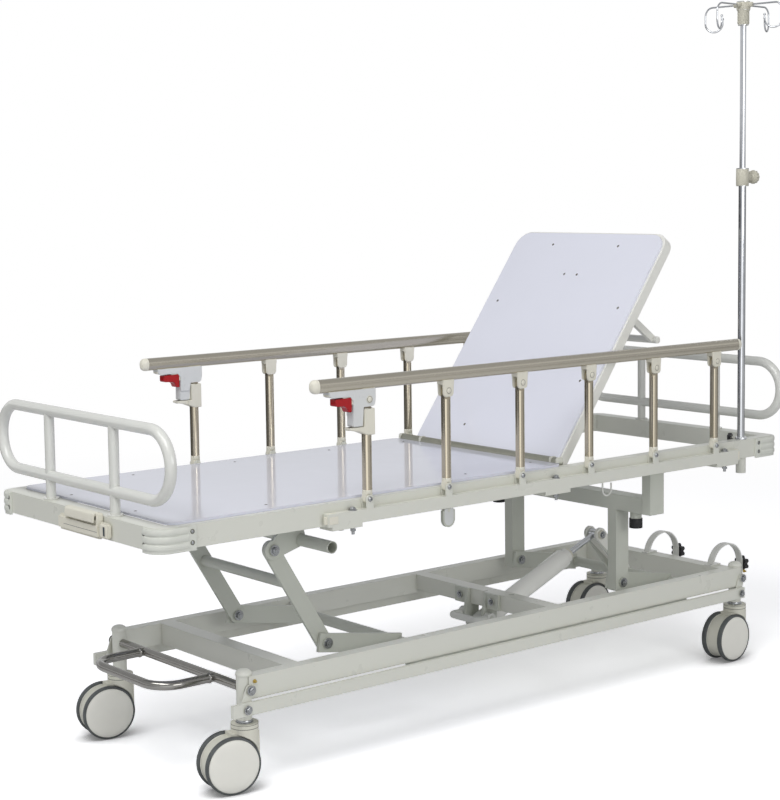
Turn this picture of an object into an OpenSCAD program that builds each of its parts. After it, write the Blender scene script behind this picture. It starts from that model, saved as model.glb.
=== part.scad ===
// Hydraulic patient stretcher with folding side guards, raised backrest,
// end hoops, drip pole, lift cranks with a ram, and four braked twin-wheel casters.
// X runs from the foot end to the head end, Y to the far side, Z up from the floor.

/* [Chassis] */
// distance between the foot and head caster stems
wheelbase = 1600; // [1400:10:1800]
// distance between the near and far caster stems
track = 514; // [460:2:600]
// height of the top of the chassis above the floor
chassis_top = 248; // [235:1:265]
// height of the chassis side tubes
chassis_tube_h = 50; // [46:1:54]
// width of the chassis side tubes
chassis_tube_w = 30; // [26:1:34]
// wall of every rectangular tube
tube_wall = 2; // [1.5:0.1:2.4]
// width of the chassis cross tubes
cross_tube_w = 40; // [34:1:46]
// height of the middle cross tube, which carries the ram
mid_tube_h = 40; // [36:1:44]
// place of the foot cross tube ahead of the chassis middle, negative toward the foot
foot_cross_x = -670; // [-700:1:-640]
// place of the middle cross tube
mid_cross_x = 124; // [110:1:140]
// place of the head cross tube
head_cross_x = 768; // [755:1:772]
// how far the chassis middle lies toward the head from the middle of the whole
chassis_ahead = 89; // [60:1:100]

/* [Casters] */
// wheel diameter
wheel_d = 125; // [110:1:130]
// width of one tread
tread_w = 15; // [13:1:17]
// gap between the two wheels of a caster
wheel_gap = 36; // [32:1:40]
// distance from the stem to the axle
trail = 38; // [30:1:42]
// axle radius
axle_r = 5; // [4:0.5:6]
// caster stem radius
stem_r = 13.9; // [12:0.1:14.5]
// length of stem inside the leg
stem_grip = 45; // [30:1:50]
// outer radius of the leg tubes
leg_r = 16.5; // [16:0.1:18]
// underside of the leg tubes above the floor
leg_foot = 147; // [144:1:152]

/* [Brake] */
// height of the brake shafts
brake_z = 220; // [216:1:224]
// radius of the shaft where it passes the legs
shaft_r = 6.9; // [6:0.1:8]
// radius of the bright tube between the legs
brake_bar_r = 10.2; // [8.5:0.1:10.5]
// how far the pedal loop reaches from the shaft
pedal_reach = 140; // [110:1:160]
// half width of the pedal loop
pedal_half = 144; // [110:1:170]
// bend radius of the pedal loop
pedal_bend = 58; // [40:1:70]
// lever drop from the shaft to the link pin
lever_drop = 38; // [34:1:42]
// lever lean toward the foot from the shaft to the link pin
lever_lean = 15; // [8:1:20]
// height of the brake link bar
link_h = 28; // [22:1:30]
// thickness of the brake link bar
link_t = 9.5; // [8:0.1:12]

/* [Lift] */
// distance from a torsion tube to its crank pin
crank_len = 219; // [200:1:230]
// upward slope of the cranks as they stand here
crank_rise = 9.5; // [5:0.5:14]
// place of the head torsion tube
head_torsion_x = 630; // [610:1:650]
// place of the foot torsion tube
foot_torsion_x = -307; // [-330:1:-290]
// height of both torsion tubes
torsion_z = 219; // [214:1:224]
// radius of the torsion tubes
torsion_r = 13.5; // [12:0.5:15]
// width of the crank plates
crank_w = 43; // [36:1:48]
// thickness of crank plates and flat bars
plate_t = 8; // [6:0.5:9]
// radius of the crank and leg pins
pin_r = 8; // [6:0.5:9]
// length of the foot legs between their pins
foot_leg_len = 272; // [250:1:290]
// lean of the foot legs from upright
foot_leg_lean = 31.5; // [26:0.5:36]
// length of the ram lever on the head torsion tube
ram_lever = 156; // [140:1:165]
// direction of the ram lever, measured from the head direction upward
ram_lever_angle = 130.8; // [120:0.1:140]
// outer radius of the ram barrel
barrel_r = 25; // [20:1:26]
// radius of the ram rod
ram_rod_r = 8; // [5:0.5:9]
// reach of the synchronising lugs below the torsion tubes
sync_drop = 45; // [40:1:50]

/* [Bed frame] */
// length of the bed frame
frame_len = 1930; // [1800:10:2000]
// width of the bed frame
frame_w = 660; // [600:10:700]
// height of the bed frame top as it stands here
frame_top = 604; // [590:1:620]
// height of the bed frame tubes
frame_tube_h = 48; // [40:1:52]
// width of the side tubes of the bed frame
frame_tube_w = 30; // [26:1:34]
// width of the end tubes of the bed frame
end_tube_w = 40; // [36:1:46]
// how far the bed frame middle lies toward the foot from the chassis middle
frame_back = 85; // [60:1:100]
// outer corner radius of the bed frame
frame_corner = 32; // [24:1:38]
// thickness of the deck board
deck_t = 5; // [4:0.5:8]
// width of the deck board
deck_w = 624; // [608:1:640]
// height of the lift posts' bearing beam
beam_h = 40; // [34:1:46]
// length of the lift post and beam section along the bed
post_w = 46; // [40:1:52]
// thickness of the lift posts across the bed
post_t = 29; // [26:1:32]
// underside of the beam above the crank pins
beam_over_pin = 192; // [180:1:200]
// radius of the rubber buffers
buffer_r = 17; // [14:1:18]
// height of the rubber buffers
buffer_h = 24.5; // [20:0.5:28]
// how far the corner bumpers stand proud
bumper_proud = 6; // [4:0.5:8]
// length of each corner bumper along the side
bumper_len = 96; // [70:1:110]

/* [Backrest] */
// distance from the head end of the bed frame to the backrest hinge
backrest_back = 749; // [740:1:755]
// backrest hinge below the bed frame top
backrest_drop = 11; // [10:0.5:14]
// length of the backrest from hinge to top edge
backrest_len = 679; // [600:1:690]
// slope of the backrest as it stands here
backrest_angle = 53.8; // [40:0.2:60]
// thickness of the backrest board
backrest_t = 6; // [4:0.5:7]
// section of the backrest frame tubes
backrest_tube = 25; // [20:1:26]

/* [Side guards] */
// distance from the foot end of the bed frame to the guard beam
guard_foot_gap = 418; // [400:1:440]
// distance from the guard beam to the head end of the bed frame
guard_head_gap = 176.5; // [160:0.5:190]
// length of the guard posts between their pins
guard_len = 218.5; // [190:0.5:230]
// radius of the guard posts
guard_post_r = 9.7; // [9:0.1:11]
// height of the guard beam
guard_beam_h = 28; // [24:1:32]
// depth of the guard beam
guard_beam_d = 20; // [18:1:26]
// height of the hand rail section
rail_h = 29; // [24:1:34]
// width of the hand rail section
rail_w = 24; // [22:1:28]
// how far the hand rail runs past the post nearest the foot
rail_overhang = 136; // [125:1:150]
// how far the hand rail runs past the post nearest the head
rail_head_overhang = 87.5; // [80:0.5:100]
// radius of the guard pins
guard_pin_r = 3; // [2.5:0.5:4]

/* [End hoops] */
// radius of the hoop tube
hoop_r = 12.25; // [10:0.25:13]
// outer width of a hoop
hoop_w = 738; // [640:2:760]
// outer height of a hoop
hoop_h = 169; // [140:1:190]
// top of the hoops above the bed frame top
hoop_top = 208; // [190:1:230]
// half the distance between the two posts of a hoop
hoop_post_half = 137; // [110:1:170]
// radius of the hoop posts
hoop_post_r = 11; // [9:0.5:12]

/* [Drip pole] */
// distance from the head end of the bed frame to the drip pole
pole_back = 128; // [110:1:140]
// outer radius of the lower pole tube
pole_r = 9.6; // [9.2:0.1:11]
// radius of the upper pole tube
inner_pole_r = 7.8; // [7:0.1:8.3]
// height of the clamp collar's top above the bed frame top
collar_top = 708; // [600:2:740]
// height of the pole's top above the bed frame top
pole_top = 1134; // [1050:2:1180]
// reach of the drip hooks
hook_reach = 117; // [90:1:125]
// radius of the hook wire
wire_r = 2.2; // [2:0.1:3.2]

/* [Hidden] */
$fn = 64;

// running clearance round pins, gap between faces that slide, cutter overrun,
// and the step where a flat side meets a round end
run_gap = 0.1;
slide_gap = 0.5;
over = 1;
seam = 0.05;

// colours
frame_white = [0.84, 0.84, 0.80];
board_white = [0.90, 0.89, 0.92];
cream = [0.87, 0.84, 0.74];
champagne = [0.78, 0.74, 0.66];
bright = [0.82, 0.83, 0.85];
tyre_grey = [0.22, 0.22, 0.23];
knob_black = [0.08, 0.08, 0.09];
lever_red = [0.78, 0.12, 0.10];

// ends and sides of the bed frame, and the guard posts along it
frame_mid = -frame_back;
frame_foot = frame_mid - frame_len / 2;
frame_head = frame_mid + frame_len / 2;
frame_half = frame_w / 2;
frame_in = frame_half - frame_tube_w;
frame_low = frame_top - frame_tube_h;
guard_beam_start = frame_foot + guard_foot_gap;
guard_beam_end = frame_head - guard_head_gap;
beam_overhang_foot = 109;
beam_overhang_head = 89;
post_gaps = 5;
first_post_x = guard_beam_start + beam_overhang_foot;
last_post_x = guard_beam_end - beam_overhang_head;
post_pitch = (last_post_x - first_post_x) / post_gaps;

// chassis places
half_base = wheelbase / 2;
half_track = track / 2;
chassis_low = chassis_top - chassis_tube_h;
side_overhang = 20;
side_out = half_track + side_overhang;
side_in = side_out - chassis_tube_w;
leg_bore_r = stem_r + run_gap;
leg_cap_lip = 1.5;
leg_cap_r = leg_r + leg_cap_lip;
leg_cap_h = 3;
leg_dome_h = 11;
bush_wall = 8;
bush_r = torsion_r + bush_wall;
bush_len = 14;

// how far the chassis middle lies to the far side of the middle of the whole, because the
// drip hooks stand out past the hoops on the near side
hook_turn = 6;
hook_out = frame_half - frame_tube_w / 2 + hook_reach * cos(hook_turn) + wire_r;
chassis_aside = max(0, hook_out - hoop_w / 2) / 2;

// module that puts chassis-based places into the frame of the whole
module placed() translate([chassis_ahead, chassis_aside, 0]) children();

// rectangular tube between two corners, hollow along one axis (0 = X, 1 = Y, 2 = Z)
module box_tube(low, high, hollow, wall = tube_wall) {
  size = high - low;
  cut = [for (i = [0:2]) i == hollow ? size[i] + 2 * over : size[i] - 2 * wall];
  shift = [for (i = [0:2]) i == hollow ? -over : wall];
  translate(low)
    difference() {
      cube(size);
      translate(shift) cube(cut);
    }
}

// solid block between two corners
module block(low, high) translate(low) cube(high - low);

// cylinder along Y from y0 to y1 at a place in the XZ plane
module y_rod(x, z, y0, y1, r)
  translate([x, min(y0, y1), z]) rotate([-90, 0, 0]) cylinder(h = abs(y1 - y0), r = r);

// plate in the XZ plane between y0 and y1, from a flat outline of x and z
module xz_plate(y0, y1)
  translate([0, y1, 0]) rotate([90, 0, 0]) linear_extrude(height = y1 - y0) children();

// bar with round ends between two points of a flat outline, its straight part a touch narrower
module round_bar(a, b, r) {
  d = b - a;
  len = norm(d);
  translate(a) circle(r = r);
  translate(b) circle(r = r);
  translate(a) rotate(atan2(d[1], d[0])) translate([0, seam - r]) square([len, 2 * r - 2 * seam]);
}

// copy on both sides of the middle plane
module both_sides() {
  children();
  mirror([0, 1, 0]) children();
}

// pins of the lift, as [x, z]
rise = crank_len * sin(crank_rise);
run = crank_len * cos(crank_rise);
head_pin = [head_torsion_x - run, torsion_z + rise];
foot_pin = [foot_torsion_x - run, torsion_z + rise];
leg_top_pin = foot_pin + foot_leg_len * [-sin(foot_leg_lean), cos(foot_leg_lean)];
ram_eye = [
  head_torsion_x + ram_lever * cos(ram_lever_angle),
  torsion_z + ram_lever * sin(ram_lever_angle)
];

// ram
ram_base_back = 12;
ram_base_drop = 84;
ram_base = [mid_cross_x - ram_base_back, chassis_top - ram_base_drop];
ram_vec = ram_eye - ram_base;
ram_len = norm(ram_vec);
ram_angle = atan2(ram_vec[1], ram_vec[0]);
barrel_len = 335;
barrel_back = 30;
ram_down_room = 110;
rod_start = barrel_back + ram_down_room;
ram_shoulder = 16;
ram_shoulder_in = 5;
ram_tongue_half = 18;
ram_pin_half = 28;
ear_in = 30;
ear_t = 8;
ear_out = ear_in + ear_t;
pump_back = 26;
pump_drop = 64;
pump_axis = [mid_cross_x - pump_back, chassis_top - pump_drop];
pump_stub_r = 7;
pump_reach = 44;
pump_tube_r = 9;
flange_w = 44;
flange_bolt_r = 7;
flange_bolt_h = 4;

// casters
caster_turn = 168;
caster_turn_head = 182;
wheel_r = wheel_d / 2;
tread_edge = 6;
web_half = wheel_gap / 2 - slide_gap;
hood_gap = 2;
cup_r = 30;
cup_low = 84;
web_inset = 3;
web_r = 56.5;
web_top = 128;
web_cut = 16;

// brake
lever_t = 4;
lever_w = 22;
lever_hole_r = 4;
lever_in = side_out + slide_gap;
lever_out = lever_in + lever_t;
link_in = lever_out + slide_gap;
link_out = link_in + link_t;
hex_r = 8;
link_head_r = 7;
link_head_h = 3;
hex_h = 5;
link_front = 36;
link_wall = 1.5;

// lift plates across the bed
post_half = 194;
post_in = post_half - post_t / 2;
post_out = post_half + post_t / 2;
head_plate_out = post_in - slide_gap;
head_plate_in = head_plate_out - plate_t;
pin_head_r = 12;
pin_head_h = 5;
foot_bar_in = 169.5;
foot_bar_out = foot_bar_in + plate_t;
foot_pin_start = foot_bar_in - slide_gap;
foot_plate_in = foot_bar_out + slide_gap;
foot_plate_out = foot_plate_in + plate_t;
foot_bar_w = 40;
leg_tube_r = 12.5;
leg_tube_share = 0.37;
torsion_half = side_in - slide_gap;
sync_clear = 22;
sync_in = foot_plate_out + pin_head_h + sync_clear;
sync_out = sync_in + plate_t;
sync_bar_in = sync_out + slide_gap;
sync_bar_out = sync_bar_in + plate_t;
sync_w = 20;
sync_pin_r = 6;
lever_plate_in = 15;
lever_plate_w = 36;
rod_eye_r = 13;
rod_eye_half = lever_plate_in - slide_gap;
ram_lug_r = 20;
ram_bolt_r = 6;
ram_head_r = 9;

// paddle lever and drainage hook under the near side tube
paddle_ahead = 246;
paddle_inset = 18;
paddle_pin_drop = 10;
paddle_x = first_post_x + paddle_ahead;
paddle_in = paddle_inset + frame_w / 2 - frame_tube_w;
paddle_t = 8;
paddle_w = 36;
paddle_z = frame_top - frame_tube_h - paddle_pin_drop;
paddle_drop = 21;
paddle_pin_r = 4;
lug_half = 8;
lug_t = 8;
lug_h = 18;
hook_ahead = 186.2;
hook_x = (first_post_x + last_post_x) / 2 + hook_ahead;
drain_bend = 15;
drain_drop = 26;

// bed frame places
deck_hinge_gap = 30;
deck_end_gap = 2;
backrest_x = frame_head - backrest_back;
deck_head = backrest_x - deck_hinge_gap;
deck_foot = frame_foot + end_tube_w + deck_end_gap;
deck_corner = 24;
slat_w = 30;
slat_h = 30;
beam_low = head_pin[1] + beam_over_pin;
beam_top = beam_low + beam_h;
hanger_w = 50;
hanger_t = 28;
buffer_inset = 1;
buffer_y = half_track - buffer_inset;
buffer_tube_r = 15;
buffer_tube_h = 18;
bracket_tube_ahead = 75;
bracket_tube_rise = 13;
bracket_tube_x = leg_top_pin[0] + bracket_tube_ahead;
bracket_tube_z = leg_top_pin[1] + bracket_tube_rise;
bracket_tube_r = 13.75;
bracket_boss_r = 22;
bracket_slat_ahead = 45;
bracket_slat_x = leg_top_pin[0] + bracket_slat_ahead;
slat_places = [bracket_slat_x, (bracket_slat_x + deck_head) / 2, deck_head - slat_w];
leg_tube_at = leg_top_pin + leg_tube_share * (foot_pin - leg_top_pin);

// bumpers and end hoops
bumper_side = 53;
bumper_lip = 4;
bumper_ease = 1;
hoop_flange_r = 17;
hoop_flange_t = 4;

// backrest
hinge_z = frame_top - backrest_drop;
hinge_r = 10;
hinge_pin_r = 6;
hinge_pin_grip = 8;
backrest_gap = 28;
backrest_half = frame_in - backrest_gap;
backrest_board_inset = 6;
backrest_top_n = backrest_drop + deck_t;
backrest_board_n = backrest_top_n - backrest_t;
backrest_tube_n = backrest_board_n - backrest_tube;
backrest_board_half = backrest_half - backrest_board_inset;
backrest_board_s = 8;
backrest_corner = 42;
backrest_inner_corner = backrest_corner - backrest_tube;
backrest_bar_s = 452;
backrest_bar_half = 232;
backrest_bar_out = 122;
backrest_bar_n = backrest_tube_n - backrest_bar_out;
backrest_bar_r = 9;
backrest_arm_t = 12;

// side guards
beam_in = frame_half;
beam_out = frame_half + guard_beam_d;
guard_beam_low = frame_low;
guard_beam_top = guard_beam_low + guard_beam_h;
guard_y = frame_half + guard_post_r + slide_gap;
foot_pin_rise = 20.5;
foot_pin_z = guard_beam_top + foot_pin_rise;
top_pin_z = foot_pin_z + guard_len;
tongue_half = 6;
tongue_r = 9;
cheek_in = tongue_half + slide_gap;
cheek_t = 3.5;
cheek_out = cheek_in + cheek_t;
ear_r = 9.5;
clevis_r = 14;
clevis_half = 16.5;
post_start = 16;
post_stop = 20;
rail_rise = 21;
rail_low = top_pin_z + rail_rise;
rail_top = rail_low + rail_h;
rail_start = first_post_x - rail_overhang;
rail_len = last_post_x + rail_head_overhang - rail_start;
beam_cap_t = 4;
clevis_sink = 2;
clevis_cap = 8;
clamp_inset = 46;
clamp_places = [
  guard_beam_start + clamp_inset, (first_post_x + last_post_x) / 2, guard_beam_end - clamp_inset
];
clamp_half = 41;
clamp_t = 9;
clamp_bolt_r = 7;
clamp_bolt_h = 6;
clamp_edge = 5;
guard_screw_r = 5;
guard_screw_h = 1.5;
casing_reach = 107;
casing_clear = 15.5;
casing_drop_reach = 43;
casing_drop = 57;
casing_h = 18;
casing_foot = first_post_x - casing_reach;
casing_head = first_post_x - casing_clear;
casing_drop_foot = first_post_x - casing_drop_reach;
casing_low = top_pin_z - casing_drop;
sleeve_r = 13;
sleeve_drop = 76;
sleeve_low = top_pin_z - sleeve_drop;
sleeve_top = top_pin_z - post_stop;
shelf_reach = 52;
shelf_gap = 2;
shelf_top = casing_low - shelf_gap;
shelf_t = 6;
latch_pin_reach = 55;
latch_pin_drop = 4;
latch_pin = [first_post_x - latch_pin_reach, top_pin_z - latch_pin_drop];
latch_pin_r = 2.5;
latch_lever_h = 12;
latch_lever_len = 32;
latch_hook_w = 10;
latch_hook_drop = 22;

// drip pole
socket_r = 13;
socket_drop = 41;
socket_flange_r = 15;
socket_flange_t = 6;
set_screw_r = 2.5;
set_knob_reach = 25;
set_knob_r = 10.5;
set_knob_len = 10;
set_knob_turn = 110;
pole_x = frame_head - pole_back;
pole_y = -(frame_half - frame_tube_w / 2);
pole_bore_r = inner_pole_r + run_gap;
collar_r = 16;
collar_h = 46;
collar_boss_r = 9;
collar_boss_len = 10;
knob_r = 16;
knob_len = 22;
knob_neck_r = 6;
inner_pole_len = 760;
hub_r = 17;
hub_h = 61;
hub_share = 0.8;
hub_cap_t = 22;
hook_socket_r = 5;
hook_socket_reach = 27;
hook_bend = 22;
hook_sink = 9;
hook_drop = 18;
hook_curl = 23;
hook_twist = 20;
hook_up = 10;

// end latch on the foot tube
latch_mid = -54;
latch_half = 102;
latch_depth = 16;
flap_len = 120;
flap_pin_r = 3;
flap_h = 14;
flap_lug_t = 8;
flap_skin = 5;
flap_over = 6;
flap_foot = frame_foot - latch_depth - flap_over;
flap_pivot_out = 7;
flap_pivot_rise = 1;
flap_pivot = [frame_foot - flap_pivot_out, frame_top + flap_pivot_rise];

// oxygen bottle straps
strap_r = 62;
strap_t = 4;
strap_w = 20;
strap_centre_ahead = 50;
strap_centre_drop = 8;
strap_low_drop = 44;
strap_knob_drop = 12;
strap_centre_x = head_cross_x + strap_centre_ahead;
strap_centre_z = chassis_top - strap_centre_drop;
strap_low = chassis_top - strap_low_drop;
strap_a_y = -208;
strap_b_y = 22;
strap_knob_z = chassis_top - strap_knob_drop;
bottle_knob_r = 21;
bottle_knob_h = 14;
bottle_stud_r = 4;
bottle_stud_len = 12;
knob_core_share = 0.72;

// base_frame: welded chassis with four leg tubes
module leg_tube()
  translate([0, 0, leg_foot]) cylinder(h = chassis_top - leg_foot, r = leg_r);

module leg_cap() {
  translate([0, 0, chassis_top]) cylinder(h = leg_cap_h, r = leg_cap_r);
  translate([0, 0, chassis_top + leg_cap_h])
    scale([1, 1, leg_dome_h / leg_cap_r])
      intersection() {
        sphere(r = leg_cap_r);
        cylinder(h = leg_cap_r, r = leg_cap_r);
      }
}

module at_legs()
  for (x = [-half_base, half_base], y = [-half_track, half_track]) translate([x, y, 0]) children();

module base_frame() color(frame_white) placed()
  difference() {
    union() {
      both_sides() {
        box_tube([-half_base, side_in, chassis_low], [half_base, side_out, chassis_top], 0);
        for (x = [head_torsion_x, foot_torsion_x])
          y_rod(x, torsion_z, side_in - bush_len, side_in, bush_r);
      }
      at_legs() {
        leg_tube();
        leg_cap();
      }
      box_tube(
        [foot_cross_x - cross_tube_w / 2, -side_in, chassis_low],
        [foot_cross_x + cross_tube_w / 2, side_in, chassis_top], 1
      );
      box_tube(
        [mid_cross_x - cross_tube_w / 2, -side_in, chassis_top - mid_tube_h],
        [mid_cross_x + cross_tube_w / 2, side_in, chassis_top], 1
      );
      box_tube(
        [head_cross_x - cross_tube_w / 2, -side_in, chassis_low],
        [head_cross_x + cross_tube_w / 2, side_in, chassis_top], 1
      );
    }
    at_legs() translate([0, 0, leg_foot - over])
      cylinder(h = chassis_top - leg_foot - tube_wall + over, r = leg_bore_r);
    for (x = [-half_base, half_base])
      y_rod(x, brake_z, -side_out - over, side_out + over, shaft_r + run_gap);
    for (x = [head_torsion_x, foot_torsion_x])
      y_rod(x, torsion_z, -side_in, side_in, torsion_r + run_gap);
  }

// ram_bracket: two ears bolted to the middle cross tube, with the pump pivots
module ram_bracket() color(frame_white) placed() {
  face = mid_cross_x - cross_tube_w / 2;
  belly = chassis_top - mid_tube_h;
  both_sides() {
    difference() {
      union() {
        xz_plate(ear_in, ear_out) {
          polygon([
            [face - ear_t, chassis_top], [face, chassis_top], [face, belly],
            [mid_cross_x + ear_t, belly],
            [ram_base[0] + ram_lug_r, ram_base[1]], [ram_base[0] - ram_lug_r, ram_base[1]],
            [pump_axis[0] - 2 * pump_stub_r, pump_axis[1]]
          ]);
          translate(ram_base) circle(r = ram_lug_r);
        }
        block([face - ear_t, ear_out, belly], [face, ear_out + flange_w, chassis_top]);
      }
      y_rod(ram_base[0], ram_base[1], ear_in - over, ear_out + over, ram_bolt_r);
    }
    y_rod(ram_base[0], ram_base[1], ear_in, ear_out, ram_bolt_r);
    y_rod(ram_base[0], ram_base[1], ear_out, ear_out + pin_head_h, ram_head_r);
    y_rod(pump_axis[0], pump_axis[1], ear_out, ear_out + 2 * pump_tube_r + 2 * slide_gap, pump_stub_r);
    translate([face - ear_t, ear_out + flange_w / 2, belly + mid_tube_h / 2])
      rotate([0, -90, 0]) cylinder(h = flange_bolt_h, r = flange_bolt_r);
  }
}

// bottle_straps: two bent straps that hold a gas bottle outside the head cross tube
module bottle_strap(y) {
  outer_x = strap_centre_x + strap_r;
  head_face = head_cross_x + cross_tube_w / 2;
  translate([0, y, 0]) {
    xz_plate(-strap_w / 2, strap_w / 2) {
      intersection() {
        difference() {
          translate([strap_centre_x, strap_centre_z]) circle(r = strap_r);
          translate([strap_centre_x, strap_centre_z]) circle(r = strap_r - strap_t);
        }
        translate([strap_centre_x - strap_r, chassis_top]) square(2 * strap_r);
      }
      translate([outer_x - strap_t, strap_low]) square([strap_t, chassis_top - strap_low + strap_t]);
      translate([head_face, strap_low]) square([outer_x - head_face, strap_t]);
      translate([head_face, chassis_low]) square([strap_t, strap_low - chassis_low + strap_t]);
      translate([head_cross_x - cross_tube_w / 2, chassis_top]) square([cross_tube_w, strap_t]);
    }
    translate([outer_x, 0, strap_knob_z])
      rotate([0, 90, 0]) cylinder(h = bottle_stud_len, r = bottle_stud_r);
  }
}

module bottle_straps() color(frame_white) placed() {
  bottle_strap(strap_a_y);
  bottle_strap(strap_b_y);
}

// bottle_knob_a and bottle_knob_b: star knobs on the strap studs
module star_solid(r, h) {
  cylinder(h = h, r = r * knob_core_share);
  for (a = [0:60:300]) rotate(a) translate([r * knob_core_share, 0, 0])
    cylinder(h = h, r = r * (1 - knob_core_share));
}

module star_knob(r, h, hole, depth)
  difference() {
    star_solid(r, h);
    translate([0, 0, -over]) cylinder(h = depth + over, r = hole);
  }

module bottle_knob(y) color(knob_black) placed()
  translate([strap_centre_x + strap_r + slide_gap, y, strap_knob_z])
    rotate([0, 90, 0]) star_knob(bottle_knob_r, bottle_knob_h, bottle_stud_r + run_gap, bottle_stud_len);

module bottle_knob_a() bottle_knob(strap_a_y);

module bottle_knob_b() bottle_knob(strap_b_y);

// casters: swivelling housing with its stem, and the wheel pair
module at_caster(x, y, turn) placed() translate([x, y, 0]) rotate(turn) children();

module caster(x, y, turn) color(cream) at_caster(x, y, turn)
  difference() {
    union() {
      difference() {
        translate([0, 0, cup_low]) cylinder(h = leg_foot - slide_gap - cup_low, r = cup_r);
        y_rod(trail, wheel_r, -cup_r - over, cup_r + over, wheel_r + hood_gap);
      }
      translate([0, 0, leg_foot - slide_gap - over]) cylinder(h = stem_grip + over, r = stem_r);
      intersection() {
        xz_plate(-web_half, web_half) {
          translate([trail, wheel_r]) circle(r = web_r);
          translate([web_inset - cup_r, wheel_r]) square([trail + cup_r - web_inset, web_top - wheel_r]);
        }
        translate([-wheel_d, -web_half - over, web_cut])
          cube([2 * wheel_d, 2 * web_half + 2 * over, leg_foot]);
      }
    }
    y_rod(trail, wheel_r, -web_half - over, web_half + over, axle_r + run_gap);
  }

module caster_nf() caster(-half_base, -half_track, caster_turn);

module caster_nh() caster(half_base, -half_track, caster_turn_head);

module caster_ff() caster(-half_base, half_track, caster_turn);

module caster_fh() caster(half_base, half_track, caster_turn_head);

module wheel_pair(x, y, turn) color(tyre_grey) at_caster(x, y, turn)
  translate([trail, 0, wheel_r]) rotate([90, 0, 0]) {
    cylinder(h = wheel_gap + 2 * over, r = axle_r, center = true);
    for (side = [0, 1]) mirror([0, 0, side]) translate([0, 0, wheel_gap / 2])
      rotate_extrude() {
        square([wheel_r - tread_edge, tread_w]);
        translate([0, tread_edge]) square([wheel_r, tread_w - 2 * tread_edge]);
        translate([wheel_r - tread_edge, tread_edge]) circle(r = tread_edge);
        translate([wheel_r - tread_edge, tread_w - tread_edge]) circle(r = tread_edge);
      }
  }

module wheel_nf() wheel_pair(-half_base, -half_track, caster_turn);

module wheel_nh() wheel_pair(half_base, -half_track, caster_turn_head);

module wheel_ff() wheel_pair(-half_base, half_track, caster_turn);

module wheel_fh() wheel_pair(half_base, half_track, caster_turn_head);

// brake shafts, levers and links
module brake_lever(x)
  xz_plate(lever_in, lever_out)
    round_bar([x, brake_z], [x - lever_lean, brake_z - lever_drop], lever_w / 2);

module brake_ends(x)
  both_sides() {
    y_rod(x, brake_z, half_track - leg_r - over, lever_in, shaft_r);
    brake_lever(x);
    y_rod(x, brake_z, lever_out, lever_out + hex_h, hex_r);
    y_rod(x - lever_lean, brake_z - lever_drop, lever_out, link_out + slide_gap, lever_hole_r);
    y_rod(
      x - lever_lean, brake_z - lever_drop,
      link_out + slide_gap, link_out + slide_gap + link_head_h, link_head_r
    );
  }

module brake_foot() color(bright) placed() {
  bar_half = half_track - leg_r - slide_gap;
  loop_x = -half_base - pedal_reach;
  y_rod(-half_base, brake_z, -bar_half, bar_half, brake_bar_r);
  brake_ends(-half_base);
  y_rod(loop_x, brake_z, -pedal_half + pedal_bend, pedal_half - pedal_bend, brake_bar_r);
  both_sides() {
    translate([loop_x + pedal_bend, pedal_half - pedal_bend, brake_z]) rotate(90)
      rotate_extrude(angle = 90) translate([pedal_bend, 0]) circle(r = brake_bar_r);
    translate([loop_x + pedal_bend, pedal_half, brake_z])
      rotate([0, 90, 0]) rotate(-90) cylinder(h = pedal_reach - pedal_bend, r = brake_bar_r);
  }
}

module brake_head() color(bright) placed() {
  y_rod(half_base, brake_z, -half_track, half_track, shaft_r);
  brake_ends(half_base);
}

module brake_link(near) color(frame_white) placed() mirror([0, near ? 1 : 0, 0])
  difference() {
    z = brake_z - lever_drop - link_h / 2;
    x0 = -half_base - lever_lean - link_front;
    x1 = half_base;
    translate([x0, link_in, z]) cube([x1 - x0, link_t, link_h]);
    translate([x0 + over, link_in + link_wall, z + link_wall])
      cube([x1 - x0 - 2 * over, link_t - 2 * link_wall, link_h - 2 * link_wall]);
    for (x = [-half_base, half_base])
      y_rod(x - lever_lean, brake_z - lever_drop, link_in - over, link_out + over, lever_hole_r + run_gap);
  }

module brake_link_far() brake_link(false);

module brake_link_near() brake_link(true);

// cranks: torsion tube, two plates with pins, and the lug of the synchronising bar
module crank_plates(pin, torsion_x, y0, y1)
  xz_plate(y0, y1)
    difference() {
      d = pin - [torsion_x, torsion_z];
      translate([torsion_x, torsion_z]) rotate(atan2(d[1], d[0]))
        translate([0, -crank_w / 2]) square([crank_len + crank_w / 2, crank_w]);
      translate([torsion_x, torsion_z]) circle(r = torsion_r - over);
    }

module sync_lug(torsion_x)
  mirror([0, 1, 0]) {
    xz_plate(sync_in, sync_out)
      round_bar([torsion_x, torsion_z], [torsion_x, torsion_z - sync_drop], sync_w / 2 + slide_gap);
    y_rod(torsion_x, torsion_z - sync_drop, sync_out, sync_bar_out, sync_pin_r);
  }

module torsion_tube(torsion_x)
  difference() {
    y_rod(torsion_x, torsion_z, -torsion_half, torsion_half, torsion_r);
    y_rod(torsion_x, torsion_z, -torsion_half - over, torsion_half + over, torsion_r - 2 * tube_wall);
  }

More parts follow.
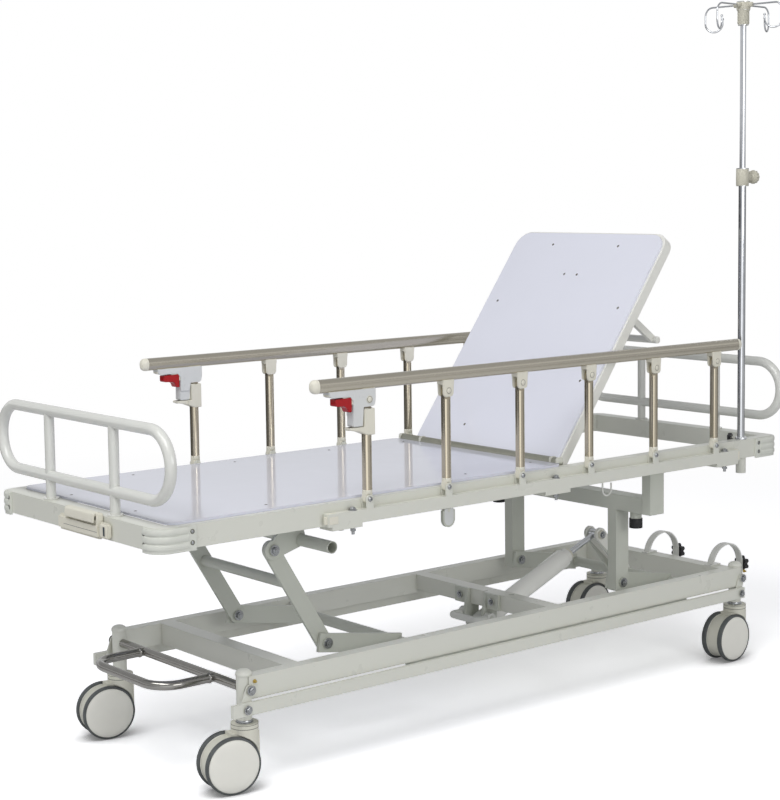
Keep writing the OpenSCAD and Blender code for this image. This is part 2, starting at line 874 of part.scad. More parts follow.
module head_crank() color(frame_white) placed() {
  torsion_tube(head_torsion_x);
  both_sides() {
    crank_plates(head_pin, head_torsion_x, head_plate_in, head_plate_out);
    y_rod(head_pin[0], head_pin[1], head_plate_out, post_out + slide_gap, pin_r);
    y_rod(head_pin[0], head_pin[1], post_out + slide_gap, post_out + slide_gap + pin_head_h, pin_head_r);
    y_rod(head_pin[0], head_pin[1], head_plate_in - pin_head_h, head_plate_in, pin_head_r);
    difference() {
      xz_plate(lever_plate_in, lever_plate_in + plate_t)
        round_bar([head_torsion_x, torsion_z], ram_eye, lever_plate_w / 2);
      y_rod(head_torsion_x, torsion_z, 0, torsion_half, torsion_r - over);
    }
  }
  sync_lug(head_torsion_x);
}

module foot_crank() color(frame_white) placed() {
  torsion_tube(foot_torsion_x);
  both_sides() {
    crank_plates(foot_pin, foot_torsion_x, foot_plate_in, foot_plate_out);
    y_rod(foot_pin[0], foot_pin[1], foot_pin_start, foot_plate_in, pin_r);
    y_rod(foot_pin[0], foot_pin[1], foot_pin_start - pin_head_h, foot_pin_start, pin_head_r);
    y_rod(foot_pin[0], foot_pin[1], foot_plate_out, foot_plate_out + pin_head_h, pin_head_r);
  }
  sync_lug(foot_torsion_x);
}

// foot_legs: two flat bars joined by a tube
module foot_legs() color(frame_white) placed() {
  both_sides() xz_plate(foot_bar_in, foot_bar_out)
    difference() {
      round_bar(foot_pin, leg_top_pin, foot_bar_w / 2);
      translate(foot_pin) circle(r = pin_r + run_gap);
      translate(leg_top_pin) circle(r = pin_r + slide_gap);
    }
  difference() {
    y_rod(leg_tube_at[0], leg_tube_at[1], -foot_bar_in, foot_bar_in, leg_tube_r);
    y_rod(leg_tube_at[0], leg_tube_at[1], -foot_bar_in - over, foot_bar_in + over, leg_tube_r - tube_wall);
  }
}

// sync_link: flat bar that keeps both cranks at one angle
module sync_link() color(frame_white) placed() mirror([0, 1, 0])
  xz_plate(sync_bar_in, sync_bar_out)
    difference() {
      round_bar(
        [foot_torsion_x, torsion_z - sync_drop], [head_torsion_x, torsion_z - sync_drop], sync_w / 2
      );
      for (x = [foot_torsion_x, head_torsion_x])
        translate([x, torsion_z - sync_drop]) circle(r = sync_pin_r + run_gap);
    }

// ram: children run along the ram from the base pin
module along_ram()
  placed() translate([ram_base[0], 0, ram_base[1]]) rotate([0, 90 - ram_angle, 0]) children();

module ram_barrel() color(frame_white) along_ram() {
  difference() {
    union() {
      translate([0, 0, barrel_back]) cylinder(h = barrel_len - barrel_back - ram_shoulder, r = barrel_r);
      translate([0, 0, barrel_len - ram_shoulder])
        cylinder(h = ram_shoulder, r = barrel_r - ram_shoulder_in);
    }
    translate([0, 0, barrel_back + 2 * tube_wall]) cylinder(h = barrel_len, r = ram_rod_r + run_gap);
  }
  rotate([90, 0, 0]) cylinder(h = 2 * ram_tongue_half, r = ram_lug_r - over, center = true);
  translate([-ram_lug_r + over, -ram_tongue_half, 0])
    cube([2 * ram_lug_r - 2 * over, 2 * ram_tongue_half, barrel_back]);
  rotate([90, 0, 0]) cylinder(h = 2 * ram_pin_half, r = ram_bolt_r, center = true);
}

module ram_rod() color(bright) along_ram() {
  translate([0, 0, rod_start]) cylinder(h = ram_len - rod_start, r = ram_rod_r);
  translate([0, 0, ram_len]) rotate([90, 0, 0])
    cylinder(h = 2 * rod_eye_half, r = rod_eye_r, center = true);
}

// pump_pedal: bail that works the pump beside the ram
module pump_pedal() color(frame_white) placed() {
  arm_y = ear_out + slide_gap + pump_tube_r;
  corner = pump_axis[0] - pump_reach;
  difference() {
    union() {
      both_sides() {
        y_rod(pump_axis[0], pump_axis[1], arm_y - pump_tube_r, arm_y + pump_tube_r, 2 * pump_stub_r);
        translate([corner + pump_tube_r, arm_y, pump_axis[1]])
          rotate([0, 90, 0]) cylinder(h = pump_reach - pump_tube_r, r = pump_tube_r);
        translate([corner + pump_tube_r, arm_y - pump_tube_r, pump_axis[1]]) rotate(90)
          rotate_extrude(angle = 90) translate([pump_tube_r, 0]) circle(r = pump_tube_r - run_gap);
      }
      y_rod(corner, pump_axis[1], -arm_y + pump_tube_r, arm_y - pump_tube_r, pump_tube_r);
    }
    y_rod(pump_axis[0], pump_axis[1], -side_in, side_in, pump_stub_r + run_gap);
  }
}

// bed_frame: ring of side and end tubes with the cross slats under the deck
module frame_ring(z0, z1) {
  corner = frame_corner;
  translate([0, 0, z0]) linear_extrude(height = z1 - z0)
    difference() {
      round_rect(frame_foot, frame_head, frame_half, corner);
      round_rect(frame_foot + end_tube_w, frame_head - end_tube_w, frame_in, corner - frame_tube_w + over);
    }
}

// flat rectangle with round corners, from x0 to x1 and y from -half to half
module round_rect(x0, x1, half, r) {
  translate([x0 + r, -half]) square([x1 - x0 - 2 * r, 2 * half]);
  translate([x0, -half + r]) square([x1 - x0, 2 * half - 2 * r]);
  for (x = [x0 + r, x1 - r], y = [-half + r, half - r]) translate([x, y]) circle(r = r);
}

module bed_frame() color(frame_white) placed()
  difference() {
    union() {
      frame_ring(frame_low, frame_top);
      for (x = slat_places)
        block([x, -frame_in - over, frame_top - slat_h], [x + slat_w, frame_in + over, frame_top]);
      block(
        [bracket_slat_x, -frame_in - over, frame_low],
        [bracket_slat_x + slat_w, frame_in + over, frame_top]
      );
      block(
        [paddle_x - lug_half, -paddle_in, frame_low - lug_h],
        [paddle_x + lug_half, -paddle_in + lug_t, frame_low]
      );
      y_rod(paddle_x, paddle_z, -paddle_in - paddle_t - 2 * slide_gap, -paddle_in + over, paddle_pin_r);
    }
    both_sides() {
      translate([frame_foot + frame_corner, frame_in + tube_wall, frame_low + tube_wall])
        cube([frame_len - 2 * frame_corner, frame_tube_w - 2 * tube_wall, frame_tube_h - 2 * tube_wall]);
      y_rod(
        backrest_x, hinge_z, frame_in - over, frame_in + hinge_pin_grip + slide_gap, hinge_pin_r + run_gap
      );
    }
    for (x = [frame_foot, frame_head - end_tube_w])
      block(
        [x + tube_wall, -frame_half + frame_corner, frame_low + tube_wall],
        [x + end_tube_w - tube_wall, frame_half - frame_corner, frame_top - tube_wall]
      );
    translate([pole_x, pole_y, frame_low - over]) cylinder(h = frame_tube_h + 2 * over, r = socket_r);
  }

// paddle_lever: lever that hangs under the near side tube
module paddle_lever() color(board_white) placed()
  difference() {
    xz_plate(-paddle_in - paddle_t - slide_gap, -paddle_in - slide_gap) {
      translate([paddle_x, paddle_z]) circle(r = lug_half);
      translate([paddle_x - paddle_w / 2, paddle_z - paddle_drop]) square([paddle_w, paddle_drop]);
      translate([paddle_x, paddle_z - paddle_drop]) circle(r = paddle_w / 2);
    }
    y_rod(paddle_x, paddle_z, -frame_half, 0, paddle_pin_r + run_gap);
  }

// drain_hook: wire hook under the near side tube
module drain_hook() color(bright) placed()
  translate([hook_x, pole_y, frame_low - drain_drop]) {
    cylinder(h = drain_drop, r = wire_r);
    translate([drain_bend, 0, 0]) rotate([-90, 0, 0]) rotate_extrude(angle = 180)
      translate([drain_bend, 0]) circle(r = wire_r);
    translate([2 * drain_bend, 0, 0]) cylinder(h = drain_bend, r = wire_r);
    translate([0, 0, drain_drop - wire_r]) cylinder(h = wire_r, r = 3 * wire_r);
  }

// lift_beam: beam, hangers up to the side tubes, and the posts down to the crank pins
module lift_beam() color(frame_white) placed()
  difference() {
    union() {
      box_tube(
        [head_pin[0] - post_w / 2, -frame_in, beam_low],
        [head_pin[0] + post_w / 2, frame_in, beam_top], 1
      );
      both_sides() {
        box_tube(
          [head_pin[0] - hanger_w / 2, frame_in, beam_low],
          [head_pin[0] + hanger_w / 2, frame_in + hanger_t, frame_low], 2
        );
        box_tube(
          [head_pin[0] - post_w / 2, post_in, head_pin[1] - ram_lug_r],
          [head_pin[0] + post_w / 2, post_out, beam_low], 2
        );
        y_rod(head_pin[0], head_pin[1], post_in, post_out, pin_r + 2 * tube_wall);
        translate([head_pin[0], buffer_y, beam_low - buffer_tube_h])
          cylinder(h = buffer_tube_h, r = buffer_tube_r);
      }
    }
    y_rod(head_pin[0], head_pin[1], -frame_half, frame_half, pin_r + run_gap);
  }

// buffers: rubber stops that land on the chassis when the bed is lowest
module buffers() color(knob_black) placed() both_sides()
  translate([head_pin[0], buffer_y, beam_low - buffer_tube_h - buffer_h])
    cylinder(h = buffer_h, r = buffer_r);

// foot_bracket: plates and pivot tube that hang from the slat over the foot legs
module foot_bracket() color(frame_white) placed() {
  both_sides() {
    xz_plate(foot_plate_in, foot_plate_out) {
      translate(leg_top_pin) circle(r = bracket_boss_r);
      polygon([
        [leg_top_pin[0] - bracket_boss_r, leg_top_pin[1]],
        [leg_top_pin[0], leg_top_pin[1] - bracket_boss_r],
        [bracket_tube_x, bracket_tube_z - bracket_tube_r],
        [bracket_tube_x + bracket_tube_r, bracket_tube_z],
        [bracket_slat_x + slat_w, frame_low],
        [bracket_slat_x, frame_low]
      ]);
    }
    y_rod(leg_top_pin[0], leg_top_pin[1], foot_pin_start, foot_plate_in, pin_r);
    y_rod(leg_top_pin[0], leg_top_pin[1], foot_pin_start - pin_head_h, foot_pin_start, pin_head_r);
    y_rod(leg_top_pin[0], leg_top_pin[1], foot_plate_out, foot_plate_out + pin_head_h, pin_head_r);
  }
  difference() {
    y_rod(bracket_tube_x, bracket_tube_z, -frame_in, frame_in, bracket_tube_r);
    y_rod(bracket_tube_x, bracket_tube_z, -frame_in - over, frame_in + over, bracket_tube_r - tube_wall);
  }
}

// bumpers: plastic guards round the corners of the bed frame
module bumpers() color(board_white) placed()
  translate([0, 0, frame_low - bumper_lip]) linear_extrude(height = frame_tube_h + bumper_lip - bumper_ease)
    difference() {
      intersection() {
        round_rect(
          frame_foot - bumper_proud, frame_head + bumper_proud, frame_half + bumper_proud,
          frame_corner + bumper_proud
        );
        for (x = [frame_foot - bumper_proud, frame_head + bumper_proud - bumper_len])
          for (y = [-frame_half - bumper_proud, frame_half + bumper_proud - bumper_side])
            translate([x, y]) square([bumper_len, bumper_side]);
      }
      round_rect(frame_foot, frame_head, frame_half, frame_corner);
    }

// deck_board: fixed board from the foot tube to the backrest hinge
module deck_board() color(board_white) placed()
  translate([0, 0, frame_top]) linear_extrude(height = deck_t)
    round_rect(deck_foot, deck_head, deck_w / 2, deck_corner);

// hoop_foot and hoop_head: bent tube hoops on two posts
module hoop(x) color(frame_white) placed() {
  mid_z = frame_top + hoop_top - hoop_h / 2;
  bend = hoop_h / 2 - hoop_r;
  straight = hoop_w / 2 - hoop_h / 2;
  translate([x, 0, 0]) {
    for (z = [mid_z - bend, mid_z + bend]) y_rod(0, z, -straight, straight, hoop_r);
    both_sides() translate([0, straight, mid_z]) rotate([90, 0, 90]) rotate(-90)
      rotate_extrude(angle = 180) translate([bend, 0]) circle(r = hoop_r);
    both_sides() translate([0, hoop_post_half, frame_top]) {
      cylinder(h = mid_z + bend - frame_top, r = hoop_post_r);
      cylinder(h = hoop_flange_t, r = hoop_flange_r);
    }
  }
}

module hoop_foot() hoop(frame_foot + end_tube_w / 2);

module hoop_head() hoop(frame_head - end_tube_w / 2);

// backrest: children lie along the backrest, X up its slope and Z off its face
module on_backrest()
  placed() translate([backrest_x, 0, hinge_z]) rotate([0, -backrest_angle, 0]) children();

module backrest_board() color(board_white) on_backrest()
  translate([0, 0, backrest_board_n]) linear_extrude(height = backrest_t)
    difference() {
      round_rect(
        backrest_board_s - backrest_corner, backrest_len - backrest_board_inset,
        backrest_board_half, backrest_corner
      );
      translate([-backrest_len + backrest_board_s, -frame_half]) square([backrest_len, frame_w]);
    }

module backrest_frame() color(cream) on_backrest() {
  translate([0, 0, backrest_tube_n]) linear_extrude(height = backrest_tube)
    difference() {
      round_rect(backrest_board_s - backrest_corner, backrest_len, backrest_half, backrest_corner);
      round_rect(
        backrest_board_s + backrest_tube, backrest_len - backrest_tube,
        backrest_half - backrest_tube, backrest_inner_corner
      );
      translate([backrest_board_s - backrest_len, -frame_half]) square([backrest_len, frame_w]);
    }
  both_sides() {
    block(
      [-hinge_r, backrest_half - backrest_tube, backrest_tube_n],
      [backrest_board_s + over, backrest_half, backrest_board_n]
    );
    y_rod(0, 0, backrest_half - over, frame_in + hinge_pin_grip, hinge_pin_r);
    block(
      [backrest_bar_s - backrest_bar_r, backrest_bar_half - backrest_arm_t, backrest_bar_n],
      [backrest_bar_s + backrest_bar_r, backrest_bar_half, backrest_tube_n + over]
    );
  }
  y_rod(0, 0, -backrest_half, backrest_half, hinge_r);
  block(
    [backrest_bar_s - backrest_tube / 2, -backrest_half + over, backrest_tube_n],
    [backrest_bar_s + backrest_tube / 2, backrest_half - over, backrest_board_n]
  );
  y_rod(
    backrest_bar_s, backrest_bar_n,
    -backrest_bar_half - backrest_arm_t, backrest_bar_half + backrest_arm_t, backrest_bar_r
  );
}

// pole_socket, pole_lower, pole_upper and pole_knob: telescoping drip pole
module at_pole() placed() translate([pole_x, pole_y, 0]) children();

module pole_socket() color(bright) at_pole()
  difference() {
    union() {
      translate([0, 0, frame_low - socket_drop])
        cylinder(h = frame_tube_h + socket_drop, r = socket_r);
      translate([0, 0, frame_top]) cylinder(h = socket_flange_t, r = socket_flange_r);
      translate([0, 0, frame_top + socket_flange_t / 2]) rotate(set_knob_turn) rotate([0, 90, 0]) {
        cylinder(h = set_knob_reach + over, r = set_screw_r);
        translate([0, 0, set_knob_reach]) star_solid(set_knob_r, set_knob_len);
      }
    }
    translate([0, 0, frame_low - socket_drop + tube_wall])
      cylinder(h = frame_tube_h + socket_drop + socket_flange_t, r = pole_r + run_gap);
  }

module pole_lower() color(bright) at_pole() {
  low = frame_low - socket_drop + tube_wall;
  top = frame_top + collar_top;
  difference() {
    union() {
      translate([0, 0, low + slide_gap]) cylinder(h = top - low - slide_gap, r = pole_r);
      translate([0, 0, top - collar_h]) cylinder(h = collar_h, r = collar_r);
      translate([0, 0, top - collar_h / 2]) rotate([0, 90, 0])
        cylinder(h = collar_r + collar_boss_len, r = collar_boss_r);
      translate([0, 0, top - collar_h / 2]) rotate([0, 90, 0])
        cylinder(h = collar_r + collar_boss_len + knob_len / 2, r = bottle_stud_r);
    }
    translate([0, 0, low]) cylinder(h = top - low + over, r = pole_bore_r);
  }
}

module pole_knob() color(cream) at_pole()
  translate([collar_r + collar_boss_len + slide_gap, 0, frame_top + collar_top - collar_h / 2])
    rotate([0, 90, 0])
      difference() {
        union() {
          cylinder(h = knob_len / 3, r = knob_neck_r + over);
          translate([0, 0, knob_len / 3]) cylinder(h = 2 * knob_len / 3, r = knob_r);
        }
        translate([0, 0, -over]) cylinder(h = knob_len / 2 + 2 * over, r = bottle_stud_r + run_gap);
      }

module drip_hook() {
  arm = hook_reach - hook_bend;
  translate([0, 0, -hook_sink]) rotate([0, 90, 0]) {
    cylinder(h = arm, r = wire_r);
    cylinder(h = hook_socket_reach, r = hook_socket_r);
  }
  translate([arm, 0, -hook_sink - hook_bend]) rotate([90, 0, 0])
    rotate_extrude(angle = 90) translate([hook_bend, 0]) circle(r = wire_r);
  translate([hook_reach, 0, -hook_sink - hook_bend - hook_drop]) {
    translate([0, 0, -over]) cylinder(h = hook_drop + 2 * over, r = wire_r - seam);
    rotate(hook_twist) {
      translate([-hook_curl, 0, 0]) rotate([90, 0, 0]) rotate(180)
        rotate_extrude(angle = 180) translate([hook_curl, 0]) circle(r = wire_r);
      translate([-2 * hook_curl, 0, 0]) cylinder(h = hook_up, r = wire_r);
      translate([-2 * hook_curl, 0, hook_up]) sphere(r = 1.5 * wire_r);
    }
  }
}

module pole_upper() color(bright) at_pole()
  translate([0, 0, frame_top + pole_top]) {
    translate([0, 0, -inner_pole_len]) cylinder(h = inner_pole_len - over, r = inner_pole_r);
    translate([0, 0, -hub_h]) cylinder(h = hub_h - 2 * over, r = hub_r * hub_share);
    translate([0, 0, -hub_cap_t]) cylinder(h = hub_cap_t, r = hub_r);
    for (a = [0:90:270]) rotate(a + hook_turn) drip_hook();
  }

// end_latch and its flap on the foot tube
module end_latch() color(cream) placed() {
  block(
    [frame_foot - latch_depth, latch_mid - latch_half, frame_low],
    [frame_foot, latch_mid + latch_half, frame_top - flap_h]
  );
  for (y = [latch_mid - flap_len / 2 - flap_lug_t - slide_gap, latch_mid + flap_len / 2 + slide_gap])
    block(
      [frame_foot - latch_depth, y, frame_top - 2 * flap_h],
      [frame_foot, y + flap_lug_t, frame_top + flap_h / 2]
    );
  y_rod(
    flap_pivot[0], flap_pivot[1],
    latch_mid - flap_len / 2 - flap_lug_t, latch_mid + flap_len / 2 + flap_lug_t, flap_pin_r
  );
}

module end_latch_lever() color(cream) placed()
  xz_plate(latch_mid - flap_len / 2, latch_mid + flap_len / 2)
    difference() {
      union() {
        translate(flap_pivot) circle(r = 2 * flap_pin_r);
        translate([flap_foot, flap_pivot[1]]) square([latch_depth, 2 * flap_pin_r]);
        translate([flap_foot, frame_top - flap_h])
          square([flap_skin, flap_h + 2 * flap_pivot_rise]);
      }
      translate(flap_pivot) circle(r = flap_pin_r + run_gap);
    }

// side guards, modelled on the far side and mirrored for the near one
module guard_side(near) placed() mirror([0, near ? 1 : 0, 0]) children();

module at_posts() for (i = [0:post_gaps]) translate([first_post_x + i * post_pitch, 0, 0]) children();

module guard_beam(near) color(frame_white) guard_side(near) {
  box_tube([guard_beam_start, beam_in, guard_beam_low], [guard_beam_end, beam_out, guard_beam_top], 0);
  for (x = [guard_beam_start - beam_cap_t, guard_beam_end])
    block([x, beam_in, guard_beam_low], [x + beam_cap_t, beam_out, guard_beam_top]);
  at_posts() {
    for (y = [[guard_y - cheek_out, guard_y - cheek_in], [guard_y + cheek_in, guard_y + cheek_out]])
      xz_plate(y[0], y[1]) {
        translate([0, foot_pin_z]) circle(r = ear_r);
        translate([-ear_r, guard_beam_top]) square([2 * ear_r, foot_pin_z - guard_beam_top]);
      }
    y_rod(0, foot_pin_z, guard_y - cheek_out, guard_y + cheek_out + guard_screw_h, guard_pin_r);
    y_rod(0, foot_pin_z, guard_y + cheek_out, guard_y + cheek_out + guard_screw_h, guard_screw_r);
  }
  for (x = clamp_places) {
    block(
      [x - clamp_half, frame_in + clamp_edge, guard_beam_low - clamp_t],
      [x + clamp_half, beam_out, guard_beam_low]
    );
    translate([x, (frame_in + beam_out) / 2, guard_beam_low - clamp_t - clamp_bolt_h])
      cylinder(h = clamp_bolt_h, r = clamp_bolt_r);
  }
}

module guard_beam_near() guard_beam(true);

module guard_beam_far() guard_beam(false);

module guard_post(near, i) color(champagne) guard_side(near)
  translate([first_post_x + (i - 1) * post_pitch, 0, 0]) {
    xz_plate(guard_y - tongue_half, guard_y + tongue_half)
      difference() {
        round_bar([0, foot_pin_z], [0, top_pin_z], tongue_r);
        for (z = [foot_pin_z, top_pin_z]) translate([0, z]) circle(r = guard_pin_r + run_gap);
      }
    translate([0, guard_y, foot_pin_z + post_start])
      cylinder(h = guard_len - post_start - post_stop, r = guard_post_r);
    if (i == 1) {
      translate([0, guard_y, sleeve_low]) cylinder(h = sleeve_top - sleeve_low, r = sleeve_r);
      block(
        [-shelf_reach, guard_y - tongue_half, shelf_top - shelf_t],
        [0, guard_y + tongue_half, shelf_top]
      );
    }
  }

module post_near_1() guard_post(true, 1);

module post_near_2() guard_post(true, 2);

module post_near_3() guard_post(true, 3);

module post_near_4() guard_post(true, 4);

module post_near_5() guard_post(true, 5);

module post_near_6() guard_post(true, 6);

module post_far_1() guard_post(false, 1);

module post_far_2() guard_post(false, 2);

module post_far_3() guard_post(false, 3);

module post_far_4() guard_post(false, 4);

module post_far_5() guard_post(false, 5);

module post_far_6() guard_post(false, 6);

module hand_rail(near) color(champagne) guard_side(near) {
  translate([rail_start, guard_y, 0]) {
    for (z = [rail_low + rail_w / 2, rail_top - rail_w / 2])
      translate([0, 0, z]) rotate([0, 90, 0]) cylinder(h = rail_len, r = rail_w / 2);
    translate([0, -rail_w / 2, rail_low + rail_w / 2]) cube([rail_len, rail_w, rail_h - rail_w]);
  }
  for (x = [rail_start, rail_start + rail_len])
    translate([x, guard_y, (rail_low + rail_top) / 2]) sphere(r = rail_w / 2);
  at_posts() {
    for (y = [[guard_y - cheek_out, guard_y - cheek_in], [guard_y + cheek_in, guard_y + cheek_out]])
      xz_plate(y[0], y[1]) {
        translate([0, top_pin_z]) circle(r = clevis_r);
        translate([-clevis_r, top_pin_z]) square([2 * clevis_r, rail_low - top_pin_z + clevis_sink]);
      }
    block(
      [-clevis_half, guard_y - cheek_out, rail_low - clevis_cap],
      [clevis_half, guard_y + cheek_out, rail_low + clevis_sink]
    );
    y_rod(0, top_pin_z, guard_y - cheek_out, guard_y + cheek_out, guard_pin_r);
    y_rod(0, top_pin_z, guard_y + cheek_out, guard_y + cheek_out + guard_screw_h, guard_screw_r);
  }
  block(
    [casing_foot, guard_y - cheek_out, rail_low - casing_h / 2],
    [casing_head, guard_y + cheek_out, rail_low + clevis_sink]
  );
  block(
    [casing_drop_foot, guard_y - cheek_out, casing_low],
    [casing_head - over, guard_y + cheek_out, rail_low]
  );
  for (y = [[guard_y - cheek_out, guard_y - cheek_in], [guard_y + cheek_in, guard_y + cheek_out]])
    xz_plate(y[0], y[1])
      translate([latch_pin[0] - clevis_r, latch_pin[1] - 2 * latch_pin_r])
        square([2 * clevis_r, rail_low - latch_pin[1]]);
  y_rod(latch_pin[0], latch_pin[1], guard_y - cheek_out, guard_y + cheek_out, latch_pin_r);
}

module rail_near() hand_rail(true);

module rail_far() hand_rail(false);

module latch_lever(near) color(lever_red) guard_side(near)
  xz_plate(guard_y - tongue_half, guard_y + tongue_half)
    difference() {
      union() {
        round_bar(latch_pin, latch_pin - [latch_lever_len, 0], latch_lever_h / 2);
        translate(latch_pin - [latch_hook_w / 2, latch_hook_drop]) square([latch_hook_w, latch_hook_drop]);
      }
      translate(latch_pin) circle(r = latch_pin_r + run_gap);
    }

module latch_near() latch_lever(true);

module latch_far() latch_lever(false);

base_frame();
ram_bracket();
bottle_straps();
bottle_knob_a();
bottle_knob_b();
caster_nf();
caster_nh();
caster_ff();
caster_fh();
wheel_nf();
wheel_nh();
wheel_ff();
wheel_fh();
brake_foot();
brake_head();
brake_link_near();
brake_link_far();
head_crank();
foot_crank();
foot_legs();
sync_link();
ram_barrel();
ram_rod();
pump_pedal();
bed_frame();
lift_beam();
foot_bracket();
buffers();
bumpers();
deck_board();
hoop_foot();
hoop_head();
backrest_board();
backrest_frame();
paddle_lever();
drain_hook();
pole_socket();
pole_lower();
pole_upper();
pole_knob();
end_latch();
end_latch_lever();
guard_beam_near();
guard_beam_far();
rail_near();
rail_far();
latch_near();
latch_far();
post_near_1();
post_near_2();
post_near_3();
post_near_4();
post_near_5();
post_near_6();
post_far_1();
post_far_2();
post_far_3();
post_far_4();
post_far_5();
post_far_6();
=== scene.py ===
import math

import bmesh
import bpy
from mathutils import Matrix, Vector


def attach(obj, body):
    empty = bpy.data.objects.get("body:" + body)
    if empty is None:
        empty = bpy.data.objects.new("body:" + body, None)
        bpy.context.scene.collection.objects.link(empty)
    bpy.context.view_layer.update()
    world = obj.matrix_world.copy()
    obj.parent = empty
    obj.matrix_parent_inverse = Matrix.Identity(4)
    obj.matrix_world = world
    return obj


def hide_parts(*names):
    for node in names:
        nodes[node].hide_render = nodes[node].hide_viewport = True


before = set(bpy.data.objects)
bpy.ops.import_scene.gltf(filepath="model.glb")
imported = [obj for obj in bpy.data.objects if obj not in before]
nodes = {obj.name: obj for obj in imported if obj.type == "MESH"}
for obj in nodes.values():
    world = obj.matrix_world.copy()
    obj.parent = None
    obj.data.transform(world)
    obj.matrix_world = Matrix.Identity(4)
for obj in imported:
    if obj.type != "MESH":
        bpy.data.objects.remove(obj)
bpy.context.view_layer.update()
SCENE = bpy.context.scene

# places shared with the CAD source, in metres; the chassis middle lies beside the middle of the whole
MM = 0.001
AHEAD = 0.089
ASIDE = (0.315 + 0.117 * math.cos(math.radians(6)) + 0.0022 - 0.369) / 2
SIDES = (("near", -1), ("far", 1))


def at_x(v):
    """Length place of a measure in millimetres from the chassis middle."""
    return v * MM + AHEAD


GUARD_Y = 0.3402
FIRST_POST = -0.523 + AHEAD
PITCH = 0.2275
POST_COUNT = 6
FOOT_PIN_Z = 0.6045
TOP_PIN_Z = 0.823
RAIL_LOW = 0.844
RAIL_TOP = 0.873
RAIL_START = FIRST_POST - 0.136
RAIL_LEN = 1.361
CHEEK_OUT = 0.010
INNER_LOW = 0.787
FRAME_TOP = 0.604
FRAME_LOW = 0.556
FRAME_FOOT = -1.05 + AHEAD
FRAME_HEAD = 0.88 + AHEAD
FRAME_HALF = 0.33
POLE = (0.752 + AHEAD, -0.315)
BACKREST = (0.131 + AHEAD, 0.593)
BACKREST_ANGLE = math.radians(53.8)
BACKREST_FACE = 0.016
SHAFT_Z = 0.25515
HEAD_SHAFT = at_x(414.0)
HEAD_PIN_IN = 0.166
FOOT_SHAFT = at_x(-523.0)
LEG_TOP = (at_x(-665.12), 0.48706)
RAM_FOOT = (at_x(112), 0.164)
RAM_EYE = (at_x(528.07), 0.33709)
BRAKE_Z = 0.220


def linear(c):
    """sRGB 0-255 triple to linear colour."""
    out = []
    for v in c:
        v /= 255
        out.append(v / 12.92 if v <= 0.04045 else ((v + 0.055) / 1.055) ** 2.4)
    return out


def fill(tree, n, sockets):
    """Gives sockets of a node, by name or number, a link or a plain value."""
    for key, value in sockets.items():
        if isinstance(value, bpy.types.NodeSocket):
            tree.links.new(value, n.inputs[key])
        else:
            n.inputs[key].default_value = value
    return n


def node(tree, kind, sockets, op=None):
    """Adds a shader node with its operation and its sockets."""
    n = tree.nodes.new(kind)
    if op:
        n.operation = op
    return fill(tree, n, sockets)


def ramp(tree, value, a, b, low, high, kind="LINEAR"):
    """Maps a..b to low..high and holds the value at both ends."""
    sockets = {"Value": value, "From Min": a, "From Max": b, "To Min": low, "To Max": high}
    n = node(tree, "ShaderNodeMapRange", sockets)
    n.interpolation_type = kind
    return n.outputs[0]


def colour_mix(tree, fac, a, b):
    """A colour from a to b."""
    n = tree.nodes.new("ShaderNodeMix")
    n.data_type = "RGBA"
    return fill(tree, n, {0: fac, 6: a, 7: b}).outputs[2]


def number_mix(tree, fac, a, b):
    """A number from a to b."""
    n = tree.nodes.new("ShaderNodeMix")
    n.data_type = "FLOAT"
    return fill(tree, n, {0: fac, 2: a, 3: b}).outputs[0]


def calc(tree, op, a, b):
    """Arithmetic on two sockets or numbers."""
    return node(tree, "ShaderNodeMath", {0: a, 1: b}, op).outputs[0]


def openness(tree, distance, samples):
    """How open a place is, 1 in the open and less beside other surfaces."""
    n = node(tree, "ShaderNodeAmbientOcclusion", {"Distance": distance})
    n.samples = samples
    return n.outputs["AO"]


# materials
class Mat:
    """A Principled material with object-space texture helpers."""

    def __init__(self, name):
        self.m = bpy.data.materials.new(name)
        self.m.use_nodes = True
        self.t = self.m.node_tree
        self.t.nodes.clear()
        out = self.t.nodes.new("ShaderNodeOutputMaterial")
        self.p = self.t.nodes.new("ShaderNodeBsdfPrincipled")
        self.t.links.new(self.p.outputs[0], out.inputs[0])
        self.co = self.t.nodes.new("ShaderNodeTexCoord").outputs["Object"]

    def give(self, sockets):
        fill(self.t, self.p, sockets)

    def noise(self, scale, detail, rough=0.55, vec=None):
        sockets = {"Scale": scale, "Detail": detail, "Roughness": rough, "Vector": vec or self.co}
        return node(self.t, "ShaderNodeTexNoise", sockets).outputs[0]

    def ramp(self, value, a, b, low=0.0, high=1.0):
        return ramp(self.t, value, a, b, low, high)

    def mix(self, fac, a, b):
        """A colour from a to b, each a socket or a linear triple."""
        a, b = [(*c, 1) if isinstance(c, list) else c for c in (a, b)]
        return colour_mix(self.t, fac, a, b)

    def bump(self, height, strength, distance, edge=0.0):
        """Fine relief; an edge radius softens the edges too."""
        n = node(self.t, "ShaderNodeBump", {"Strength": strength, "Distance": distance, "Height": height})
        if edge:
            soft = node(self.t, "ShaderNodeBevel", {"Radius": edge})
            soft.samples = 4
            self.t.links.new(soft.outputs[0], n.inputs["Normal"])
        self.give({"Normal": n.outputs[0]})


